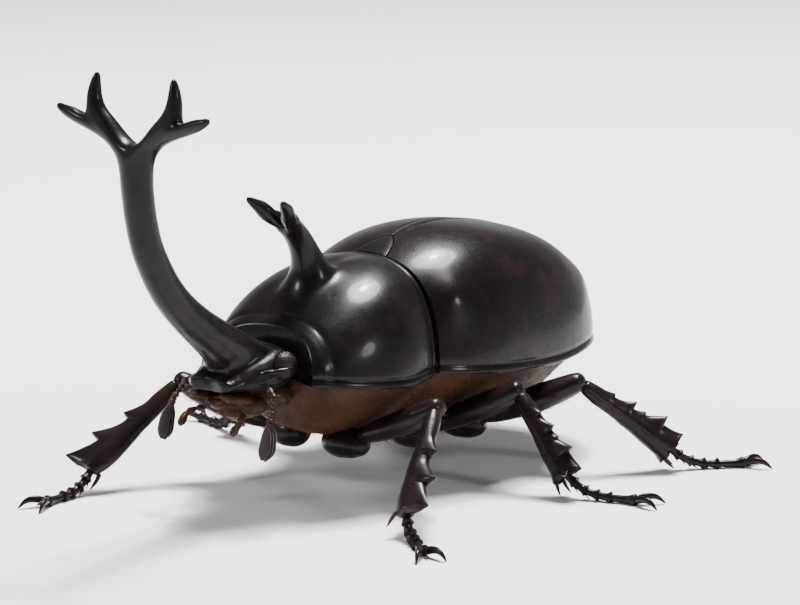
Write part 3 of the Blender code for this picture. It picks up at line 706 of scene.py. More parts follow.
shield = {
    "length": 14.8, "start": 0.3, "halfWidth": 11.7, "rise": 11.9, "frontSweep": 2.0, "back": 0.42,
    "tuck": 0.985, "flank": 11.0, "low": 1.2, "hornRow": 0.35,
    "rows": (0.0, 0.018, 0.06, 0.15, 0.35, 0.55, 0.66, 0.76, 0.87, 0.95, 0.985, 1.0),
    "columns": (0, 15, 27, 39, 51, 64, 76, 84, 88.2, 90),
    "marginEdging": ((0.13, 0.1, 0.36), (0.10, 0.75, 0.22)),
    "backEdging": ((0.08, 0.0, 0.4), (0.09, 0.8, 0.2)),
    "frontEdging": ((0.13, 0.0, 0.5), (0.12, 1.1, 0.26)),
    "dimple": {"place": 0.55, "angle": 60.0, "depth": 0.22, "width": 1.1},
    "hollow": {"y": -2.6, "depth": 0.12, "width": 0.9, "length": 3.2},
    "ripple": (0.03, 0.4),
}
shieldWidth = curveThrough(((0.0, 0.64), (0.25, 0.865), (0.6, 0.995), (0.85, 0.965), (1.0, 0.91)))
shieldRise = curveThrough(((0.0, 0.42), (0.25, 0.74), (0.55, 0.945), (0.8, 1.0), (1.0, 0.965)))
shieldWave = curveThrough(((0.0, 0.1), (0.35, -0.3), (0.7, -0.4), (1.0, 0.1)))
thoracicHorn = {
    "root": (-8.6, 17.0),  # y and z
    "shaft": ((-8.9, 17.7, 2.35, 2.3), (-9.4, 19.2, 1.7, 1.65), (-10.3, 20.8, 1.45, 1.35),
              (-11.4, 22.1, 1.5, 1.15), (-12.4, 22.9, 1.7, 1.0)),
    "tines": ((1.3, -13.8, 23.9, 0.86), (1.95, -15.1, 24.9, 0.62), (2.45, -16.2, 25.7, 0.32)),
    "tineWay": (0.5, -1.0, 0.75),
}
cageShrink = {6: 0.833, 8: 0.902}  # how far subdivision draws in a ring of so many sides


def bothSides(angles):
    # Angles in degrees from the crest outwards, mirrored and in radians
    outwards = [math.radians(angle) for angle in angles]
    return [-angle for angle in reversed(outwards[1:])] + outwards


def shieldEnds(sweep):
    # y of the front and back edges, which both sweep forward towards the flanks
    front = shield["start"] - shield["length"] - shield["frontSweep"] * sweep
    return front, shield["back"] - wingCase["sweep"] * sweep


def shieldPoint(place, angle, grow=0.0):
    halfWidth = shield["halfWidth"] * shieldWidth(place) + grow
    x, z = arch(angle, halfWidth, shield["rise"] * shieldRise(place) + grow)
    front, back = shieldEnds(math.sin(angle) ** 2)
    return Vector((x, front + (back - front) * place, wingCase["margin"] + shieldWave(place) + z))


dimpleSpot = shieldPoint(shield["dimple"]["place"], math.radians(shield["dimple"]["angle"]))


def shieldRelief(spot, normal):
    # Beads along the edges, a dimple on each flank, and a faint hollow behind the horn
    dimple, hollow = shield["dimple"], shield["hollow"]
    front, back = shieldEnds((min(abs(spot.x), shield["flank"]) / shield["halfWidth"]) ** 2)
    above = spot.z - wingCase["margin"] - shieldWave(clamp((spot.y - front) / (back - front)))
    low = clamp(above / shield["low"])
    lift = edging(above, *shield["marginEdging"])
    lift += edging(back - spot.y, *shield["backEdging"]) * low
    lift += edging(spot.y - front, *shield["frontEdging"]) * low
    flankSpot = Vector((abs(spot.x), spot.y, spot.z))
    lift -= dimple["depth"] * hill((flankSpot - dimpleSpot).length, dimple["width"])
    lift -= hollow["depth"] * hill(spot.x, hollow["width"]) * hill(spot.y - hollow["y"], hollow["length"])
    return lift + ripple(spot, *shield["ripple"])


def cageRing(bm, centre, along, halfSide, halfAcross, sides, lead=Vector((1, 0, 0))):
    # A cage ring whose smooth limit has the given half sizes
    shrink = cageShrink[sides]
    along = Vector(along).normalized()
    across = along.cross(lead).normalized()
    side = across.cross(along)
    points = ringPoints(Vector(centre), side, across, halfSide / shrink, halfAcross / shrink, sides)
    return [bm.verts.new(point) for point in points]


def splitRing(bm, ring):
    # Part a ring of eight into two of six, to the left and to the right
    middle = middleOf(bm, ring)
    return ([ring[0], ring[1], ring[2], middle, ring[6], ring[7]],
            [ring[4], ring[5], ring[6], middle, ring[2], ring[3]])


def growShaft(bm, ring, keys, start):
    # Rings of eight up a horn from the edge of a hole; keys are (y, z, half side, half depth)
    before = start
    for i, (y, z, halfSide, halfDepth) in enumerate(keys):
        after = keys[min(i + 1, len(keys) - 1)]
        along = (0.0, after[0] - before[0], after[1] - before[1])
        outer = cageRing(bm, (0.0, y, z), along, halfSide, halfDepth, 8)
        sleeve(bm, ring, outer)
        ring, before = outer, (y, z)
    return ring


def makeShield():
    def floor(place, angle):
        spot = shieldPoint(place, angle)
        return Vector((spot.x * shield["tuck"], spot.y, wingCase["margin"] + shieldWave(place)))

    bm = bmesh.new()
    rows, columns = shield["rows"], bothSides(shield["columns"])
    hole = (rows.index(shield["hornRow"]), len(shield["columns"]) - 1)
    ring = sheetBody(bm, shieldPoint, floor, rows, columns, hole)
    ring = ring[:1] + ring[:0:-1]  # the rows run backwards here, so the other way round
    top = growShaft(bm, ring, thoracicHorn["shaft"], thoracicHorn["root"])
    for way, end in zip(mirror.values(), splitRing(bm, top)):
        along = mirrored(thoracicHorn["tineWay"], way)
        for *place, half in thoracicHorn["tines"]:
            outer = cageRing(bm, mirrored(place, way), along, half, half, 6, mirrored((1, 0, 0), way))
            sleeve(bm, end, outer)
            end = outer
        closeRing(bm, end)
    makePiece("pronotum_and_horn", bm, finish["shieldCuticle"], onTrunk,
              ("pronotum", "thoracic_horn"), rounds=3, soften=6, relief=shieldRelief)


makeShield()
print("shield made")


head = {
    "start": -15.0, "length": 8.3, "hornRow": 0.57,
    "rows": (0.0, 0.03, 0.12, 0.28, 0.57, 0.86, 0.94, 0.985, 1.0),
    "columns": (0, 36, 50, 64, 76, 85, 90),
    # The clypeus has two lobes in front of the place start
    "lobe": {"start": 0.7, "reach": 0.8, "apart": 2.0, "width": 0.9},
    # A ridge that runs back over the middle of the eye
    "canthus": ((3.7, -20.4, 8.7), (4.9, -19.1, 9.1), (5.62, -18.0, 9.35), (5.55, -17.3, 9.45)),
    "canthusSizes": ((0.0, 0.5, 0.4), (0.5, 0.42, 0.3), (0.85, 0.26, 0.2), (1.0, 0.08, 0.08)),
    "browTop": 15.0, "wrinkles": (0.05, 0.9), "fineWrinkles": (0.03, 2.2), "hornRipple": (0.02, 0.8),
}
headWidth = curveThrough(((0.0, 2.4), (0.09, 4.1), (0.25, 4.75), (0.42, 4.8), (0.53, 5.0), (0.66, 4.3),
                          (0.85, 3.5), (1.0, 3.1)))
headMiddle = curveThrough(((0.0, 8.8), (0.25, 8.6), (0.5, 8.3), (0.75, 7.9), (1.0, 7.6)))
headBelow = curveThrough(((0.0, 1.4), (0.09, 2.2), (0.25, 2.5), (0.5, 2.2), (0.75, 1.4), (1.0, 0.6)))
headAbove = curveThrough(((0.0, 1.7), (0.09, 2.6), (0.25, 3.0), (0.5, 2.7), (0.75, 1.7), (1.0, 0.7)))
cephalicHorn = {
    "root": (-20.0, 10.4),
    "shaft": ((-22.6, 11.9, 2.5, 2.15), (-25.4, 13.7, 2.0, 1.9), (-27.7, 15.4, 1.8, 1.78),
              (-29.8, 17.4, 1.7, 1.7), (-31.5, 19.8, 1.64, 1.64), (-32.9, 22.3, 1.6, 1.6),
              (-33.7, 25.0, 1.6, 1.55), (-34.2, 27.6, 1.68, 1.5), (-34.4, 29.6, 1.85, 1.42),
              (-34.5, 31.2, 2.2, 1.38)),
    "reach": 9.0, "fork": 32.0,
    # Shares of the reach, y, heights over the fork, leans, and half sizes
    "branch": (((0.37, -34.8, 1.6), (0.95, -0.10, 0.50), 1.1, 1.08),
               ((0.57, -34.9, 2.9), (0.60, -0.05, 0.90), 1.1, 0.95),
               ((0.62, -34.9, 4.9), (0.02, 0.00, 1.00), 0.76, 0.76),
               ((0.57, -34.8, 6.9), (-0.12, 0.05, 1.00), 0.34, 0.34)),
    # Shares of the reach, heights over the fork and half sizes of the outer tip
    "tine": ((0.86, 2.55, 0.74), (1.02, 2.9, 0.56), (1.14, 3.35, 0.32)),
    "tineY": -35.0, "tineDrift": 0.02, "tineWay": (1.0, -0.1, 0.12),
}


def headPoint(place, angle, below):
    lobe = head["lobe"]
    x, z = arch(angle, headWidth(place), (headBelow if below else headAbove)(place))
    lobes = lobe["reach"] * hill(abs(x) - lobe["apart"], lobe["width"]) * max(0.0, place - lobe["start"])
    lobes /= 1.0 - lobe["start"]
    middle = headMiddle(place)
    return Vector((x, head["start"] - head["length"] * place - lobes, middle - z if below else middle + z))


def headRelief(spot, normal):
    # Coarse and fine wrinkles over the brow, and a smoother shaft
    if spot.z > head["browTop"]:
        return ripple(spot, *head["hornRipple"])
    return ripple(spot, *head["wrinkles"]) + ripple(spot, *head["fineWrinkles"])


def growProng(bm, start, way):
    # One prong of the head horn: a branch that turns up, and a tine out of its second band
    reach, base = cephalicHorn["reach"], cephalicHorn["fork"]
    rings = [start]
    for (share, y, lift), lean, halfSide, halfAcross in cephalicHorn["branch"]:
        centre, lead = (share * reach * way, y, base + lift), mirrored((1, 0, 0), way)
        rings.append(cageRing(bm, centre, mirrored(lean, way), halfSide, halfAcross, 6, lead))
    for k, (lower, upper) in enumerate(zip(rings, rings[1:])):
        sleeve(bm, lower, upper, skip=(0, 5) if k == 1 else ())
    closeRing(bm, rings[-1])
    lower, upper = rings[1], rings[2]
    side = [lower[0], lower[1], upper[1], upper[0], upper[5], lower[5]]
    for share, lift, half in cephalicHorn["tine"]:
        y = cephalicHorn["tineY"] - cephalicHorn["tineDrift"] * share * reach
        along = mirrored(cephalicHorn["tineWay"], way)
        outer = cageRing(bm, (share * reach * way, y, base + lift), along, half, half, 6, -up)
        sleeve(bm, side, outer)
        side = outer
    closeRing(bm, side)


def makeHead():
    bm = bmesh.new()
    rows, columns = head["rows"], bothSides(head["columns"])
    hole = (rows.index(head["hornRow"]), len(head["columns"]) - 1)
    ring = sheetBody(bm, lambda place, angle: headPoint(place, angle, False),
                     lambda place, angle: headPoint(place, angle, True), rows, columns, hole)
    top = growShaft(bm, ring, cephalicHorn["shaft"], cephalicHorn["root"])
    for way, start in zip(mirror.values(), splitRing(bm, top)):
        growProng(bm, start, way)
        tube(bm, [mirrored(point, way) for point in head["canthus"]], head["canthusSizes"], up, 8, 8)
    makePiece("head_and_horn", bm, finish["shieldCuticle"], onTrunk, ("head", "cephalic_horn"),
              rounds=3, soften=6, relief=headRelief)


eye = {
    "centre": (4.45, -17.4, 9.5), "radii": Vector((1.1, 1.5, 1.4)),
    "level": 5, "rise": 0.004, "crown": 0.86, "sharp": 60.0,
}


def facetRecipeMade():
    # A ball of six-sided facets, each raised a little, stretched to the eye's radii
    recipe = Recipe("eyeFacets", {
        "Level": "Int", "Centre": "Vector", "Radii": "Vector", "Rise": "Float", "Crown": "Float",
        "Material": "Material"})
    node, take = recipe.node, recipe.take
    ball = node("GeometryNodeMeshIcoSphere", {}, {"Radius": 1.0, "Subdivisions": take("Level")})
    cells = node("GeometryNodeDualMesh", {}, {"Mesh": ball})
    raised = node("GeometryNodeExtrudeMesh", {"mode": "FACES"}, {
        "Mesh": cells, "Offset Scale": take("Rise"), "Individual": True})
    crowned = node("GeometryNodeScaleElements", {"domain": "FACE"}, {
        "Geometry": raised, "Selection": raised.also("Top"), "Scale": take("Crown")})
    stretched = recipe.vector("MULTIPLY", node("GeometryNodeInputPosition", {}, {}), take("Radii"))
    place = recipe.vector("ADD", stretched, take("Centre"))
    return recipe.end(node("GeometryNodeSetPosition", {}, {"Geometry": crowned, "Position": place}))


def makeEye(name, way, recipe):
    ball = newObject(name, bpy.data.meshes.new(name))
    centre = onTrunk @ mirrored(eye["centre"], way) * mm
    growOn(ball, recipe, {"Level": eye["level"], "Centre": centre, "Radii": eye["radii"] * mm,
                          "Rise": eye["rise"], "Crown": eye["crown"], "Material": finish["eye"]})
    dress(ball, finish["eye"], (name,), eye["sharp"])


makeHead()
facetRecipe = facetRecipeMade()
for side, way in mirror.items():
    makeEye("eye_" + side, way, facetRecipe)
print("head made")


feeler = {
    # An elbowed stalk: a long scape, then round beads
    "path": ((4.75, -20.1, 7.3), (6.3, -20.9, 6.4), (6.8, -21.7, 5.0), (6.9, -22.1, 4.0)),
    "bow": (0.2, 0, 0.25),
    "scape": ((0.0, 0.26, 0.26), (0.1, 0.42, 0.42), (0.5, 0.28, 0.28), (0.85, 0.44, 0.40), (1.0, 0.2, 0.2)),
    "beads": 7, "beadHalf": 0.27, "beadGrowth": 0.02, "evenBead": 0.06, "beadThick": 0.28,
}
club = {
    # Flat leaves side by side, like pages
    "leaves": 3, "pitch": 0.36, "length": 3.4, "lift": 0.15, "forward": 0.65, "fan": 0.3, "shorten": 0.5,
    "outward": 0.1, "lean": 0.06, "bow": (0.12, 0, 0),
    "leaf": ((0.0, 0.2, 0.2), (0.15, 0.504, 0.2), (0.5, 0.72, 0.2), (0.85, 0.576, 0.18), (1.0, 0.15, 0.1)),
}


def makeAntenna(side, way):
    path = [mirrored(point, way) for point in feeler["path"]]
    bm = bmesh.new()
    bow = (path[0] + path[1]) / 2 + mirrored(feeler["bow"], way)
    tube(bm, (path[0], bow, path[1]), feeler["scape"], (0, 1, 0), 16, 32)
    curve = curveThrough([(i / 2, *point) for i, point in enumerate(path[1:])])
    for i in range(feeler["beads"]):
        place = (i + 0.5) / feeler["beads"]
        along = (curve(place + 2 * tangentStep) - curve(place - 2 * tangentStep)).normalized()
        turn = along.to_track_quat("Z", "Y").to_matrix()
        half = feeler["beadHalf"] + feeler["evenBead"] * (i % 2 == 0) + feeler["beadGrowth"] * i
        ellipsoid(bm, curve(place), (half, half, feeler["beadThick"]), 16, turn)
    makePiece("antenna_" + side, bm, finish["feelerCuticle"], onTrunk)
    bm = bmesh.new()
    for leaf in range(club["leaves"]):
        shift = (leaf - (club["leaves"] - 1) / 2) * club["pitch"]
        start = path[-1] + Vector((0.0, shift, club["lift"]))
        length = abs(shift) * club["shorten"] - club["length"]
        end = start + Vector((club["outward"] * way, shift * club["fan"] - club["forward"], length))
        end += Vector((club["lean"] * way * shift, 0.0, 0.0))
        bow = (start + end) / 2 + mirrored(club["bow"], way)
        tube(bm, (start, bow, end), club["leaf"], (0, 1, 0), 16, 24)
    makePiece("club_" + side, bm, finish["clubFelt"], onTrunk, ())


palp = {
    "joints": ((2.6, -21.3, 4.6), (3.3, -22.1, 4.55), (3.65, -23.0, 4.1), (3.6, -24.1, 3.0)),
    "half": 0.34, "growth": 0.04,
    "joint": ((0.0, 0.55, 0.55), (0.25, 0.8, 0.8), (0.75, 1.0, 1.0), (1.0, 0.5, 0.5)),
}


def makePalp(side, way):
    joints = [mirrored(point, way) for point in palp["joints"]]
    bm = bmesh.new()
    for i, (a, b) in enumerate(zip(joints, joints[1:])):
        half = palp["half"] + palp["growth"] * i
        tube(bm, (a, (a + b) / 2, b), sized(palp["joint"], half, half), up, 12, 14)
    makePiece("palp_" + side, bm, finish["mouthCuticle"], onTrunk)


mouth = {
    # Centre, radii and sides of mentum, labium and throat, and of the cheek on the left
    "middle": (((0.0, -19.2, 4.75), (2.3, 2.5, 1.1), 32), ((0.0, -21.5, 5.4), (1.9, 1.2, 0.7), 28),
               ((0.0, -16.4, 5.9), (3.9, 3.0, 1.9), 32)),
    "cheek": ((2.5, -19.6, 5.2), (0.9, 1.7, 0.9), 24),
    # A blunt mandible that shows beside the clypeus
    "mandible": ((2.7, -20.6, 6.0), (2.9, -22.2, 6.2), (2.45, -23.3, 6.5), (1.7, -23.9, 6.8)),
    "mandibleSizes": ((0.0, 0.7, 0.5), (0.4, 0.75, 0.5), (0.75, 0.55, 0.4), (1.0, 0.15, 0.15)),
    "voxel": 0.09, "soften": 4,
}


def makeMouth():
    bm = bmesh.new()
    for centre, radii, sides in mouth["middle"]:
        ellipsoid(bm, centre, radii, sides)
    centre, radii, sides = mouth["cheek"]
    for way in mirror.values():
        ellipsoid(bm, mirrored(centre, way), radii, sides)
        tube(bm, [mirrored(point, way) for point in mouth["mandible"]], mouth["mandibleSizes"], up, 16, 20)
    makePiece("mouthparts", bm, finish["mouthCuticle"], onTrunk, voxel=mouth["voxel"],
              soften=mouth["soften"])


for side, way in mirror.items():
    makeAntenna(side, way)
    makePalp(side, way)
makeMouth()
print("feelers and mouth made")


belly = {
    "thoraxEnd": 13.6, "abdomenEnd": 29.9, "inset": 0.95, "seam": 0.08, "rows": 190, "columns": 61,
    "flatKeel": 0.34, "turn": 0.14, "sternites": 5, "step": 0.35, "lapSweep": 0.012,
    "spare": {"thorax": 1.5, "abdomen": 1.0}, "tip": 0.999, "rearStart": 0.6,
    "rearCut": (0.0, 24.8, 1.0), "rearWay": (0.0, 0.85, -0.52), "ripple": (0.05, 0.7),
}
grooves = {
    # Depth and width of the grooves of the breastplate, and where each lies
    "middle": {"depth": 0.16, "width": 0.22},
    "front": {"depth": 0.12, "width": 0.3, "y": 2.2, "slant": 0.12},
    "flank": {"depth": 0.12, "width": 0.25, "x": 6.6, "slant": 0.15},
    "upperSide": 0.2, "ripple": (0.05, 0.8),
}
breast = {"rows": 40, "inset": 0.3, "below": 0.02, "edge": 0.2, "nose": 0.2}
keelCurve = curveThrough(((0.0, 0.9), (0.1, 0.2), (0.35, 0.2), (0.6, 0.4), (0.8, 1.1), (0.92, 2.6),
                          (1.0, 5.5)))
chestCurve = curveThrough(((0.0, 3.6), (0.25, 1.4), (0.6, 0.5), (1.0, 1.2)))


def bellySlope(across):
    # Rise of the underside from the flat keel, 0, to the margin, 1
    def ramp(value):
        return math.hypot(value - belly["flatKeel"], belly["turn"]) + value - belly["flatKeel"]
    return (ramp(abs(across)) - ramp(0.0)) / (ramp(1.0) - ramp(0.0))


def alongPlace(y):
    return (y - wingCase["start"]) / wingCase["length"]


def plateAt(place, lap=0.0):
    # How many belly plates lie between the breastplate and a place
    start, end = alongPlace(belly["thoraxEnd"]), alongPlace(belly["abdomenEnd"])
    return (place - start + lap) / (end - start) * belly["sternites"]


def hindKeel(place, angle):
    # Each belly plate laps the next; the laps sweep forward towards the sides
    keel = keelCurve(place)
    if place > alongPlace(belly["thoraxEnd"]):
        plate = plateAt(place, belly["lapSweep"] * math.sin(angle) ** 2)
        part = plate - math.floor(plate)
        keel -= belly["step"] * part * part
    return keel


def hindBody(start, end):
    # The hind body between two places
    def roof(place, angle):
        return dome(place, angle, belly["inset"])

    def lower(place, angle):
        edge, spot = roof(place, marginAngle), roof(place, angle)
        keel = min(hindKeel(place, angle), edge.z)
        return Vector((spot.x, spot.y, keel + (edge.z - keel) * bellySlope(math.sin(angle))))

    bm = bmesh.new()
    rows = spread(int(belly["rows"] * (end - start)), start, end)
    sheetBody(bm, roof, lower, rows, spread(belly["columns"], -marginAngle, marginAngle))
    return bm


def thoraxRelief(spot, normal):
    # A groove down the middle of the breastplate, one across its front, and a seam on each flank
    if normal.z > grooves["upperSide"]:
        return 0.0
    middle, front, flank = grooves["middle"], grooves["front"], grooves["flank"]
    lift = -middle["depth"] * hill(spot.x, middle["width"])
    lift -= front["depth"] * hill(spot.y - front["y"] - front["slant"] * abs(spot.x), front["width"])
    lift -= flank["depth"] * hill(abs(spot.x) - flank["x"] - flank["slant"] * spot.y, flank["width"])
    return lift + ripple(spot, *grooves["ripple"])


def bellyRelief(spot, normal):
    return ripple(spot, *belly["ripple"])


def makeHindBody():
    # Breastplate, abdomen and pygidium, parted by narrow cuts
    half, border = belly["seam"] / 2.0, belly["thoraxEnd"]
    rearCut, rearWay = Vector(belly["rearCut"]), Vector(belly["rearWay"]).normalized()
    bm = hindBody(0.0, alongPlace(border + belly["spare"]["thorax"]))
    keepBelow(bm, (0, border - half, 0), (0, 1, 0))
    makePiece("hind_thorax", bm, finish["bellyCuticle"], onTrunk, relief=thoraxRelief)
    bm = hindBody(alongPlace(border - belly["spare"]["abdomen"]), belly["tip"])
    keepBelow(bm, (0, border + half, 0), (0, -1, 0))
    keepBelow(bm, rearCut - rearWay * half, rearWay)
    makePiece("abdomen", bm, finish["bellyCuticle"], onTrunk, relief=bellyRelief)
    bm = hindBody(belly["rearStart"], belly["tip"])
    keepBelow(bm, rearCut + rearWay * half, -rearWay)
    makePiece("pygidium", bm, finish["shieldCuticle"], onTrunk, relief=bellyRelief)


def makeChest():
    def roof(place, angle):
        spot = shieldPoint(place, angle, -breast["inset"])
        return Vector((spot.x, spot.y, wingCase["margin"] + shieldWave(place) - breast["below"]))

    def lower(place, angle):
        edge = roof(place, angle)
        near = 1.0 - min(1.0, place / breast["nose"])
        nose = 1.0 - math.sqrt(1.0 - near * near)  # the front rounds up to the shield
        keel = chestCurve(place) + (edge.z - breast["edge"] - chestCurve(place)) * nose
        return Vector((edge.x, edge.y, keel + (edge.z - keel) * bellySlope(math.sin(angle))))

    bm = bmesh.new()
    columns = spread(belly["columns"], -marginAngle, marginAngle)
    sheetBody(bm, roof, lower, tightEnds(breast["rows"]), columns)
    makePiece("prosternum", bm, finish["bellyCuticle"], onTrunk, relief=bellyRelief)


makeHindBody()
makeChest()
print("underside made")


stance = {
    "front_left": {"coxa": (4.2, -7.2, 0.1), "knee": (15.0, -5.6, 10.6), "shinEnd": (19.6, -16.2, 2.4),
                   "toe": (0.82, -0.57), "foot": 9.6},
    "mid_left": {"coxa": (4.5, 3.4, -0.2), "knee": (15.9, 6.6, 10.4), "shinEnd": (22.8, 6.2, 2.4),
                 "toe": (0.95, 0.30), "foot": 10.6},
    "hind_left": {"coxa": (5.0, 11.4, -0.1), "knee": (16.9, 16.2, 9.8), "shinEnd": (24.6, 22.6, 2.4),
                  "toe": (0.66, 0.75), "foot": 11.4},
    "front_right": {"coxa": (-4.2, -7.2, 0.1), "knee": (-13.8, -13.2, 10.6), "shinEnd": (-16.6, -24.2, 2.4),
                    "toe": (0.06, -1.0), "foot": 9.6},
    "mid_right": {"coxa": (-4.5, 3.4, -0.2), "knee": (-15.9, 5.2, 10.4), "shinEnd": (-22.6, 4.0, 2.4),
                  "toe": (-0.96, 0.28), "foot": 10.6},
    "hind_right": {"coxa": (-5.0, 11.4, -0.1), "knee": (-16.7, 16.8, 9.8), "shinEnd": (-22.6, 25.0, 2.4),
                   "toe": (-0.62, 0.78), "foot": 11.4},
}
# In each piece below, mesh gives the sides and the stations of its tube
barrel = {
    "radii": Vector((2.9, 1.9, 1.7)), "keys": 15, "blunt": 2.4, "fullness": 1.06, "slimmer": 0.16,
    "rise": 0.06, "mesh": (40, 48), "ripple": (0.05, 0.9),
}


def makeCoxa(name, coxa):
    # A rounded barrel across the body, slimmer towards the trochanter
    long, deep, tall = barrel["radii"]
    way = Vector((math.copysign(long, coxa.x), 0.0, 0.0))
    profile = []
    for place in spread(barrel["keys"]):
        swell = (1.0 - abs(2.0 * place - 1.0) ** barrel["blunt"]) ** 0.5
        swell *= barrel["fullness"] - barrel["slimmer"] * place
        profile.append((place, deep * swell, tall * swell))
    bm = bmesh.new()
    tube(bm, (coxa - way, coxa + up * barrel["rise"], coxa + way), profile, up, *barrel["mesh"])
    makePiece("coxa_" + name, bm, finish["legCuticle"], onFloor,
              relief=lambda spot, normal: ripple(spot, *barrel["ripple"]))


kneeRadius = 1.2
thigh = {
    "profile": ((0.0, 0.95, 0.85), (0.1, 1.35, 1.1), (0.3, 1.9, 1.3), (0.55, 2.05, 1.4), (0.8, 1.6, 1.2),
                (0.9, 1.3, 1.06), (0.95, 1.1, 0.94), (0.98, 0.8, 0.7), (1.0, 0.3, 0.3)),
    "girth": (1.0, 1.0), "hindGirth": (1.2, 1.08), "sunk": 0.1, "sag": 0.25, "pastKnee": 0.7,
    "mesh": (32, 56),
    # The trochanter's wedge: places along and beside the thigh's root
    "wedge": ((-0.7, 0.0), (0.9, 0.45), (2.9, 1.0)), "wedgeMesh": (20, 24),
    "wedgeProfile": ((0.0, 0.95, 0.9), (0.5, 1.05, 0.95), (0.85, 0.6, 0.6), (1.0, 0.2, 0.2)),
    "dents": (0.05, 0.6), "furrow": 0.12, "furrowTurn": 0.12,
}


def makeThigh(name, coxa, knee, hind):
    # The flat femur and the trochanter's wedge
    out = (knee - coxa).normalized()
    reach = Vector([radius * part for radius, part in zip(barrel["radii"], out)]).length
    root = coxa + out * (reach - thigh["sunk"])
    bow = (root + knee) / 2.0 - up * thigh["sag"]
    profile = sized(thigh["profile"], *thigh["hindGirth" if hind else "girth"])
    bm = bmesh.new()
    tube(bm, (root, bow, knee + out * kneeRadius * thigh["pastKnee"]), profile, up, *thigh["mesh"])
    side = up.cross(out).normalized() * math.copysign(1.0, coxa.x)
    wedge = [root + out * along + side * beside for along, beside in thigh["wedge"]]
    tube(bm, wedge, thigh["wedgeProfile"], up, *thigh["wedgeMesh"])

    def relief(spot, normal):
        # Shallow dents, and a furrow below where the shin folds in
        furrow = thigh["furrow"] * hill(normal.dot(-up) - 1.0, thigh["furrowTurn"])
        return ripple(spot, *thigh["dents"]) - furrow

    makePiece("femur_" + name, bm, finish["legCuticle"], onFloor, relief=relief)


shin = {
    # (place, inner half, outer half, half thickness) of a shin without its teeth
    "frontProfile": ((0.0, 0.7, 0.7, 0.7), (0.08, 0.9, 0.9, 0.8), (0.3, 1.05, 1.1, 0.85),
                     (0.6, 1.2, 1.5, 0.95), (0.88, 1.3, 1.9, 0.95), (1.0, 0.95, 1.3, 0.7)),
    "rearProfile": ((0.0, 0.7, 0.7, 0.7), (0.08, 0.9, 0.9, 0.85), (0.3, 1.0, 1.05, 0.95),
                    (0.6, 1.2, 1.35, 1.1), (0.88, 1.5, 1.75, 1.3), (1.0, 1.6, 1.8, 1.3)),
    # (place of the tip, height, length of the slope up to it) of each tooth
    "frontTeeth": ((0.42, 1.1, 0.16), (0.70, 1.5, 0.18), (0.96, 2.0, 0.20)),
    "rearTeeth": ((0.27, 0.35, 0.09), (0.46, 0.9, 0.13), (0.60, 0.4, 0.09), (0.76, 1.2, 0.15)),
    "slope": 1.7, "drop": 0.35, "dropCurve": 0.8, "toothEdge": 5, "toothLean": 0.4,
    "start": 0.7, "rows": 120, "endRows": (0.002, 0.006, 0.994, 0.998), "sides": 32,
    "endShare": 0.35, "endSlope": 60.0, "footEnd": 0.004,
    "frontOutward": 2.0,
    # A rear shin ends in a crown of points
    "crown": 0.9, "crownStart": 0.86, "points": 6.0, "flare": 0.16, "pointFlare": 0.10,
    "pointReach": 0.35,
    # The neck turns in the knee
    "neckRoot": 0.2, "neckReach": 1.2, "neck": ((0.0, 0.5, 0.5), (0.5, 0.62, 0.6), (1.0, 0.4, 0.4)),
    "neckMesh": (16, 16), "rib": {"height": 0.08, "off": 0.3, "width": 0.35}, "dents": (0.05, 0.9),
}
spur = {
    # Two long spurs at the inner corner of a rear shin, one on a front shin
    "front": (0.3,), "rear": (0.45, -0.45), "inward": 1.0, "sunk": 0.4, "length": 1.9, "hook": 0.35,
    "splay": 0.9, "bow": 0.1, "clearance": 0.35,
    "profile": ((0.0, 0.27, 0.2), (0.6, 0.2, 0.15), (1.0, 0.05, 0.05)), "mesh": (10, 12),
}


def toothed(place, teeth):
    # Height of a row of teeth, each a slow rise towards the foot and a sharp drop
    lift = 0.0
    for tip, height, slope in teeth:
        gone = (place - tip) / slope
        if -1.0 < gone <= 0.0:
            lift = max(lift, height * (1.0 + gone) ** shin["slope"])
        elif 0.0 < gone < shin["drop"]:
            lift = max(lift, height * (1.0 - gone / shin["drop"]) ** shin["dropCurve"])
    return lift


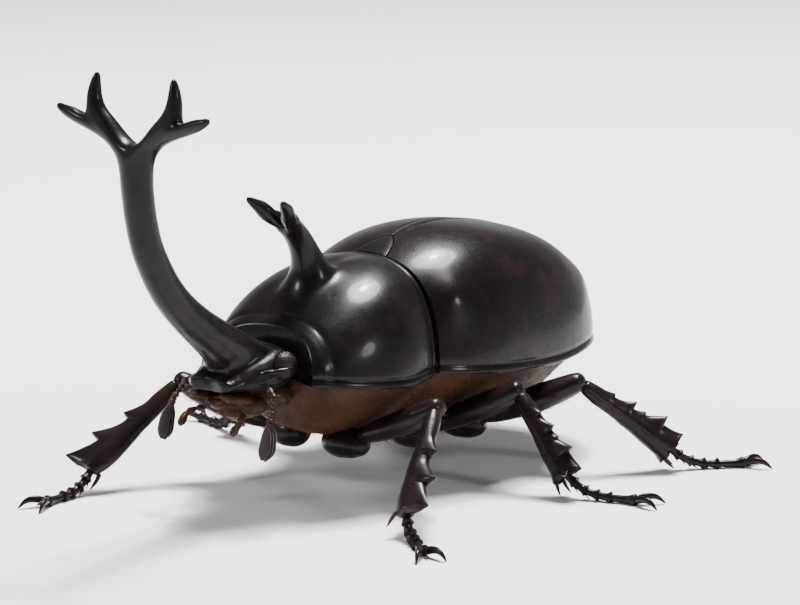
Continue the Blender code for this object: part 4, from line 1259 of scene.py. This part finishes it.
def makeShin(name, coxa, knee, shinEnd, rear):
    # The tibia: a flat blade that widens to the foot, toothed along its outer edge
    down = (shinEnd - knee).normalized()
    start = knee + down * shin["start"]
    outward = up if rear else Vector((coxa.x, 0.0, shin["frontOutward"]))
    outer = (outward - down * outward.dot(down)).normalized()
    across = down.cross(outer).normalized()
    size = curveThrough(shin["rearProfile" if rear else "frontProfile"])
    teeth = shin["rearTeeth" if rear else "frontTeeth"]
    bm = bmesh.new()
    rings = []
    for place in sorted([*spread(shin["rows"]), *shin["endRows"]]):
        inner, outerHalf, thick = size(place)
        closing = min(1.0, shin["endShare"] + shin["endSlope"] * min(place, 1.0 - place + shin["footEnd"]))
        lift = toothed(place, teeth)
        crown = 0.0
        if rear:
            crown = shin["crown"] * max(0.0, (place - shin["crownStart"]) / (1.0 - shin["crownStart"])) ** 2
        ring = []
        for i in range(shin["sides"]):
            angle = 2.0 * math.pi * i / shin["sides"]
            reach = outerHalf if math.cos(angle) > 0.0 else inner
            edge = max(0.0, math.cos(angle)) ** shin["toothEdge"]
            point = crown * math.cos(shin["points"] * angle)
            flare = 1.0 + shin["flare"] * crown + shin["pointFlare"] * point
            spot = start.lerp(shinEnd, place) + outer * (reach * math.cos(angle) * closing * flare)
            spot += across * (thick * math.sin(angle) * closing * flare)
            lean = lift * shin["toothLean"] * edge + shin["pointReach"] * point
            spot += outer * (lift * edge) + down * lean
            ring.append(bm.verts.new(spot))
        rings.append(ring)
    skinRings(bm, rings)
    neck = (knee - down * shin["neckRoot"], start, start + down * shin["neckReach"])
    tube(bm, neck, shin["neck"], across, *shin["neckMesh"])

    def relief(spot, normal):
        # A rib along each flat face, and dents between the teeth
        rib = shin["rib"]
        lift = rib["height"] * hill((spot - start).dot(outer) - rib["off"], rib["width"])
        return lift + ripple(spot, *shin["dents"])

    makePiece("tibia_" + name, bm, finish["legCuticle"], onFloor, relief=relief)
    bm = bmesh.new()
    for way in spur["rear" if rear else "front"]:
        root = shinEnd - outer * spur["inward"] + across * way - down * spur["sunk"]
        tip = root + down * spur["length"] - outer * spur["hook"] + across * way * spur["splay"]
        tip.z = max(tip.z, spur["clearance"])
        bow = (root + tip) / 2 - outer * spur["bow"]
        tube(bm, (root, bow, tip), spur["profile"], across, *spur["mesh"])
    makePiece("spurs_" + name, bm, finish["bristleHorn"], onFloor, ())


foot = {
    "half": 0.62, "height": 0.5, "sunk": 0.35, "joints": (0.2, 0.36, 0.52, 0.68, 1.0), "mesh": (16, 20),
    # Shares of the run to the last joint's end, and heights by the foot's height
    "path": ((0.3, 1.9), (0.6, 1.0), (1.0, 1.0)),
    "joint": ((0.0, 0.62, 0.62), (0.3, 0.66, 0.68), (0.8, 1.0, 0.98), (0.94, 0.98, 0.95), (1.0, 0.55, 0.55)),
    # A pair of spines below the end of each joint but the last
    "spine": {"back": 0.25, "apart": 0.3, "below": 0.3, "length": 0.75, "splay": 0.22, "droop": 0.22,
              "profile": ((0.0, 0.13, 0.13), (1.0, 0.035, 0.035)), "mesh": (6, 4)},
}
claw = {
    "length": 2.6,
    # Places ahead of the foot's end, apart from its middle, and above the floor
    "hook": ((-0.1, 0.2, 0.5), (0.8, 0.75, 0.85), (1.75, 1.2, 0.72), (2.5, 1.5, 0.1)), "mesh": (12, 20),
    "profile": ((0.0, 0.42, 0.36), (0.35, 0.38, 0.32), (0.7, 0.27, 0.22), (1.0, 0.08, 0.07)),
    # The small pad between the claws
    "pad": (0.7, 1.3), "padDroop": 0.2, "padMesh": (8, 8),
    "padProfile": ((0.0, 0.22, 0.2), (0.7, 0.16, 0.12), (1.0, 0.06, 0.06)),
}


def makeFoot(name, shinEnd, down, toeWay, length):
    # A tarsus of five bell-shaped joints, and two hooked claws
    spine = foot["spine"]
    toe = Vector((*toeWay, 0.0)).normalized()
    side = up.cross(toe)
    start = shinEnd - down * foot["sunk"]
    ground = Vector((start.x, start.y, 0.0))
    run = length - claw["length"]
    lift = up * foot["height"]
    points = [start] + [ground + toe * run * share + lift * height for share, height in foot["path"]]
    path = pathThrough(points)
    profile = sized(foot["joint"], foot["half"], foot["half"])
    bm = bmesh.new()
    before = 0.0
    for joint in foot["joints"]:
        stretch = [path(before + (joint - before) * part) for part in (0.0, 0.5, 1.0)]
        tube(bm, stretch, profile, side, *foot["mesh"])
        along = (stretch[2] - stretch[1]).normalized()
        for way in mirror.values() if joint < 1.0 else ():
            root = stretch[2] - along * spine["back"] + side * spine["apart"] * way - up * spine["below"]
            tip = root + along * spine["length"] + side * spine["splay"] * way - up * spine["droop"]
            tube(bm, (root, (root + tip) / 2, tip), spine["profile"], side, *spine["mesh"])
        before = joint
    makePiece("tarsus_" + name, bm, finish["legCuticle"], onFloor, flatFeet=True)
    bm = bmesh.new()
    end = points[-1]
    for way in mirror.values():
        hook = [end + toe * ahead + side * apart * way for ahead, apart, _ in claw["hook"]]
        for point, (_, _, height) in zip(hook, claw["hook"]):
            point.z = height
        tube(bm, hook, claw["profile"], side, *claw["mesh"])
    near, far = claw["pad"]
    pad = (end, end + toe * near, end + toe * far - lift * claw["padDroop"])
    tube(bm, pad, claw["padProfile"], side, *claw["padMesh"])
    makePiece("claws_" + name, bm, finish["clawHorn"], onFloor, (), flatFeet=True)


def legPoints(pose):
    # Coxa, knee and end of the shin; the coxae tilt with the trunk
    return pitched @ Vector(pose["coxa"]), Vector(pose["knee"]), Vector(pose["shinEnd"])


for name, pose in stance.items():
    coxa, knee, shinEnd = legPoints(pose)
    makeCoxa(name, coxa)
    makeThigh(name, coxa, knee, name.startswith("hind"))
    makeShin(name, coxa, knee, shinEnd, not name.startswith("front"))
    makeFoot(name, shinEnd, (shinEnd - knee).normalized(), pose["toe"], pose["foot"])
    print("leg made:", name)


coats = {
    # Hairs to the square millimetre, their length, width, lean along the skin, bend, scatter
    # and seed
    "chest": (6.0, 1.2, 0.018, 1.7, 0.25, 0.3, 3),
    "belly": (6.0, 0.8, 0.016, 1.8, 0.1, 0.3, 5),
    "leg": (3.0, 0.9, 0.018, 0.9, 0.12, 0.3, 8),
    "mouth": (24.0, 1.1, 0.018, 1.2, 0.2, 0.35, 11),
}
pile = {
    # How dense the coats are from place to place
    "keel": 0.25, "keelHalf": 1.2, "flankWidth": 5.0,
    "flank": {"start": 5.5, "width": 2.5, "facing": 0.25, "top": 0.5, "underside": -0.05},
    "row": 0.22, "rowKeel": 0.4, "rowWidth": 8.0, "rear": 0.35, "rearFacing": 0.2,
    "mouthStart": -20.6, "mouthTop": 0.6, "mouthBack": 0.08, "legAround": 0.06,
}
layout = {"trunk": (34.0, 80.0), "legTurn": 7.0, "legLength": 20.0, "legStart": 0.05}


def chestPile(spot, normal):
    # Thick on the flanks of the chest and at its front, thin along the keel
    facing = max(0.0, -normal.z, -normal.y) ** 0.5
    return facing * min(1.0, pile["keel"] + max(0.0, abs(spot.x) - pile["keelHalf"]) / pile["flankWidth"])


def bellyPile(spot, normal):
    # Rows across the belly plates, and a short pile up the flanks
    flank, thick = pile["flank"], 0.0
    if abs(normal.x) > flank["facing"]:
        thick = clamp((abs(spot.x) - flank["start"]) / flank["width"])
    if normal.z > flank["underside"]:
        return thick if normal.z < flank["top"] else 0.0
    plate = plateAt(alongPlace(spot.y))
    row = hill((plate - math.floor(plate)) - 0.5, pile["row"])
    return row * (pile["rowKeel"] + min(1.0, abs(spot.x) / pile["rowWidth"])) + thick


def rearPile(spot, normal):
    return pile["rear"] if normal.y > pile["rearFacing"] else 0.0


def mouthPile(spot, normal):
    return 1.0 if spot.y < pile["mouthStart"] and normal.z < pile["mouthTop"] else pile["mouthBack"]


def trunkLayout(spot):
    wide, long = layout["trunk"]
    return 0.5 + spot.x / wide, 0.5 + spot.y / long


def growBristles(skin, start, end):
    # A fringe along the lower edge of a thigh or a shin
    along = (end - start).normalized()
    below = (along * along.z - up).normalized()

    def legPile(spot, normal):
        return max(0.0, normal.dot(below)) ** 2 + pile["legAround"]

    def legLayout(spot):
        turn = math.atan2(spot.x - start.x, spot.y - start.y) / layout["legTurn"]
        return 0.5 + turn, layout["legStart"] + (spot - start).dot(along) / layout["legLength"]

    growCoat("bristles_" + skin.name, skin, coats["leg"], along, legPile, legLayout)


trunkCoats = {
    # The piece a coat grows on, its kind, the way its hairs lie, its pile and its slot
    "hair_prosternum.001": ("prosternum", "chest", (0.0, 0.9, -0.3), chestPile, "belly"),
    "hair_hind_thorax.001": ("hind_thorax", "chest", (0.0, 0.9, -0.3), chestPile, "belly"),
    "hair_abdomen": ("abdomen", "belly", (0.0, 1.0, -0.1), bellyPile, "belly"),
    "hair_pygidium": ("pygidium", "belly", (0.0, 0.4, -0.9), rearPile, "belly"),
    "hair_mouth": ("mouthparts", "mouth", (0.0, -1.0, -0.1), mouthPile, "mouth"),
}
for name, (skin, kind, lie, density, slot) in trunkCoats.items():
    growCoat(name, pieces[skin], coats[kind], lie, density, trunkLayout)
for name, pose in stance.items():
    coxa, knee, shinEnd = legPoints(pose)
    growBristles(pieces["femur_" + name], coxa, knee)
    growBristles(pieces["tibia_" + name], knee, shinEnd)
print("hair grown")


studio = {
    "azimuth": 40.0, "elevation": 11.0, "distance": 0.284, "target": (0.0029, 0.0025, 0.0187),
    "lens": 120.0, "sensor": 36.0, "clip": (0.001, 10.0), "floor": 2.8, "floorDrop": 0.00002,
    "floorTones": (tone(0.80, 0.80, 0.79), tone(0.84, 0.84, 0.83)),
    # Place, size and power of each lamp
    "lamps": {
        "overhead": ((-0.10, 0.30, 0.85), 0.38, 28.0), "glint": ((-0.07, 0.16, 0.42), 0.03, 1.8),
        "front": ((-0.30, -0.42, 0.34), 0.12, 1.6), "side": ((0.55, 0.05, 0.30), 0.12, 1.0),
    },
    # The sky is bright at the horizon and dimmer overhead, eased between two heights
    "skyTone": tone(0.95, 0.96, 1.0), "skyHeights": (0.12, 0.5), "skyLight": (0.85, 0.12),
}


def layFloor():
    bm = bmesh.new()
    bmesh.ops.create_grid(bm, x_segments=2, y_segments=2, size=studio["floor"] / 2)
    floor = newObject("floor", meshOf("floor", bm))
    floor.location.z = -studio["floorDrop"]
    graph = Finish("paleFloor", {"IOR": 1.3})
    spot = graph.millimetres()
    graph.drive("Base Color", graph.blend(graph.noise(spot, 0.02), *studio["floorTones"]))
    graph.drive("Roughness", 0.75 + graph.noise(spot, 0.4) * 0.1)
    floor.data.materials.append(graph.material)


def lightSky():
    world = bpy.data.worlds.new("studio")
    world.use_nodes = True
    graph = Graph(world.node_tree)
    background = graph.tree.nodes["Background"]
    background.inputs["Color"].default_value = studio["skyTone"]
    way = graph.node("ShaderNodeTexCoord", {}, {}, "Generated")
    height = graph.node("ShaderNodeSeparateXYZ", {}, {0: way}, "Z")
    graph.feed(height.rise(*studio["skyHeights"], *studio["skyLight"]), background.inputs["Strength"])
    bpy.context.scene.world = world


def hangLamps(target):
    for name, (place, size, power) in studio["lamps"].items():
        light = bpy.data.lights.new(name, "AREA")
        light.shape, light.size, light.energy = "DISK", size, power
        lamp = newObject(name, light)
        lamp.location = place
        lamp.rotation_euler = (target - Vector(place)).to_track_quat("-Z", "Y").to_euler()


def standCamera(target):
    optics = bpy.data.cameras.new("camera")
    optics.lens, optics.sensor_width = studio["lens"], studio["sensor"]
    optics.clip_start, optics.clip_end = studio["clip"]
    camera = newObject("camera", optics)
    azimuth, elevation = math.radians(studio["azimuth"]), math.radians(studio["elevation"])
    level = math.cos(elevation)
    back = Vector((math.sin(azimuth) * level, -math.cos(azimuth) * level, math.sin(elevation)))
    camera.location = target + back * studio["distance"]
    camera.rotation_euler = back.to_track_quat("Z", "Y").to_euler()
    bpy.context.scene.camera = camera


layFloor()
lightSky()
hangLamps(Vector(studio["target"]))
standCamera(Vector(studio["target"]))
print("studio made")
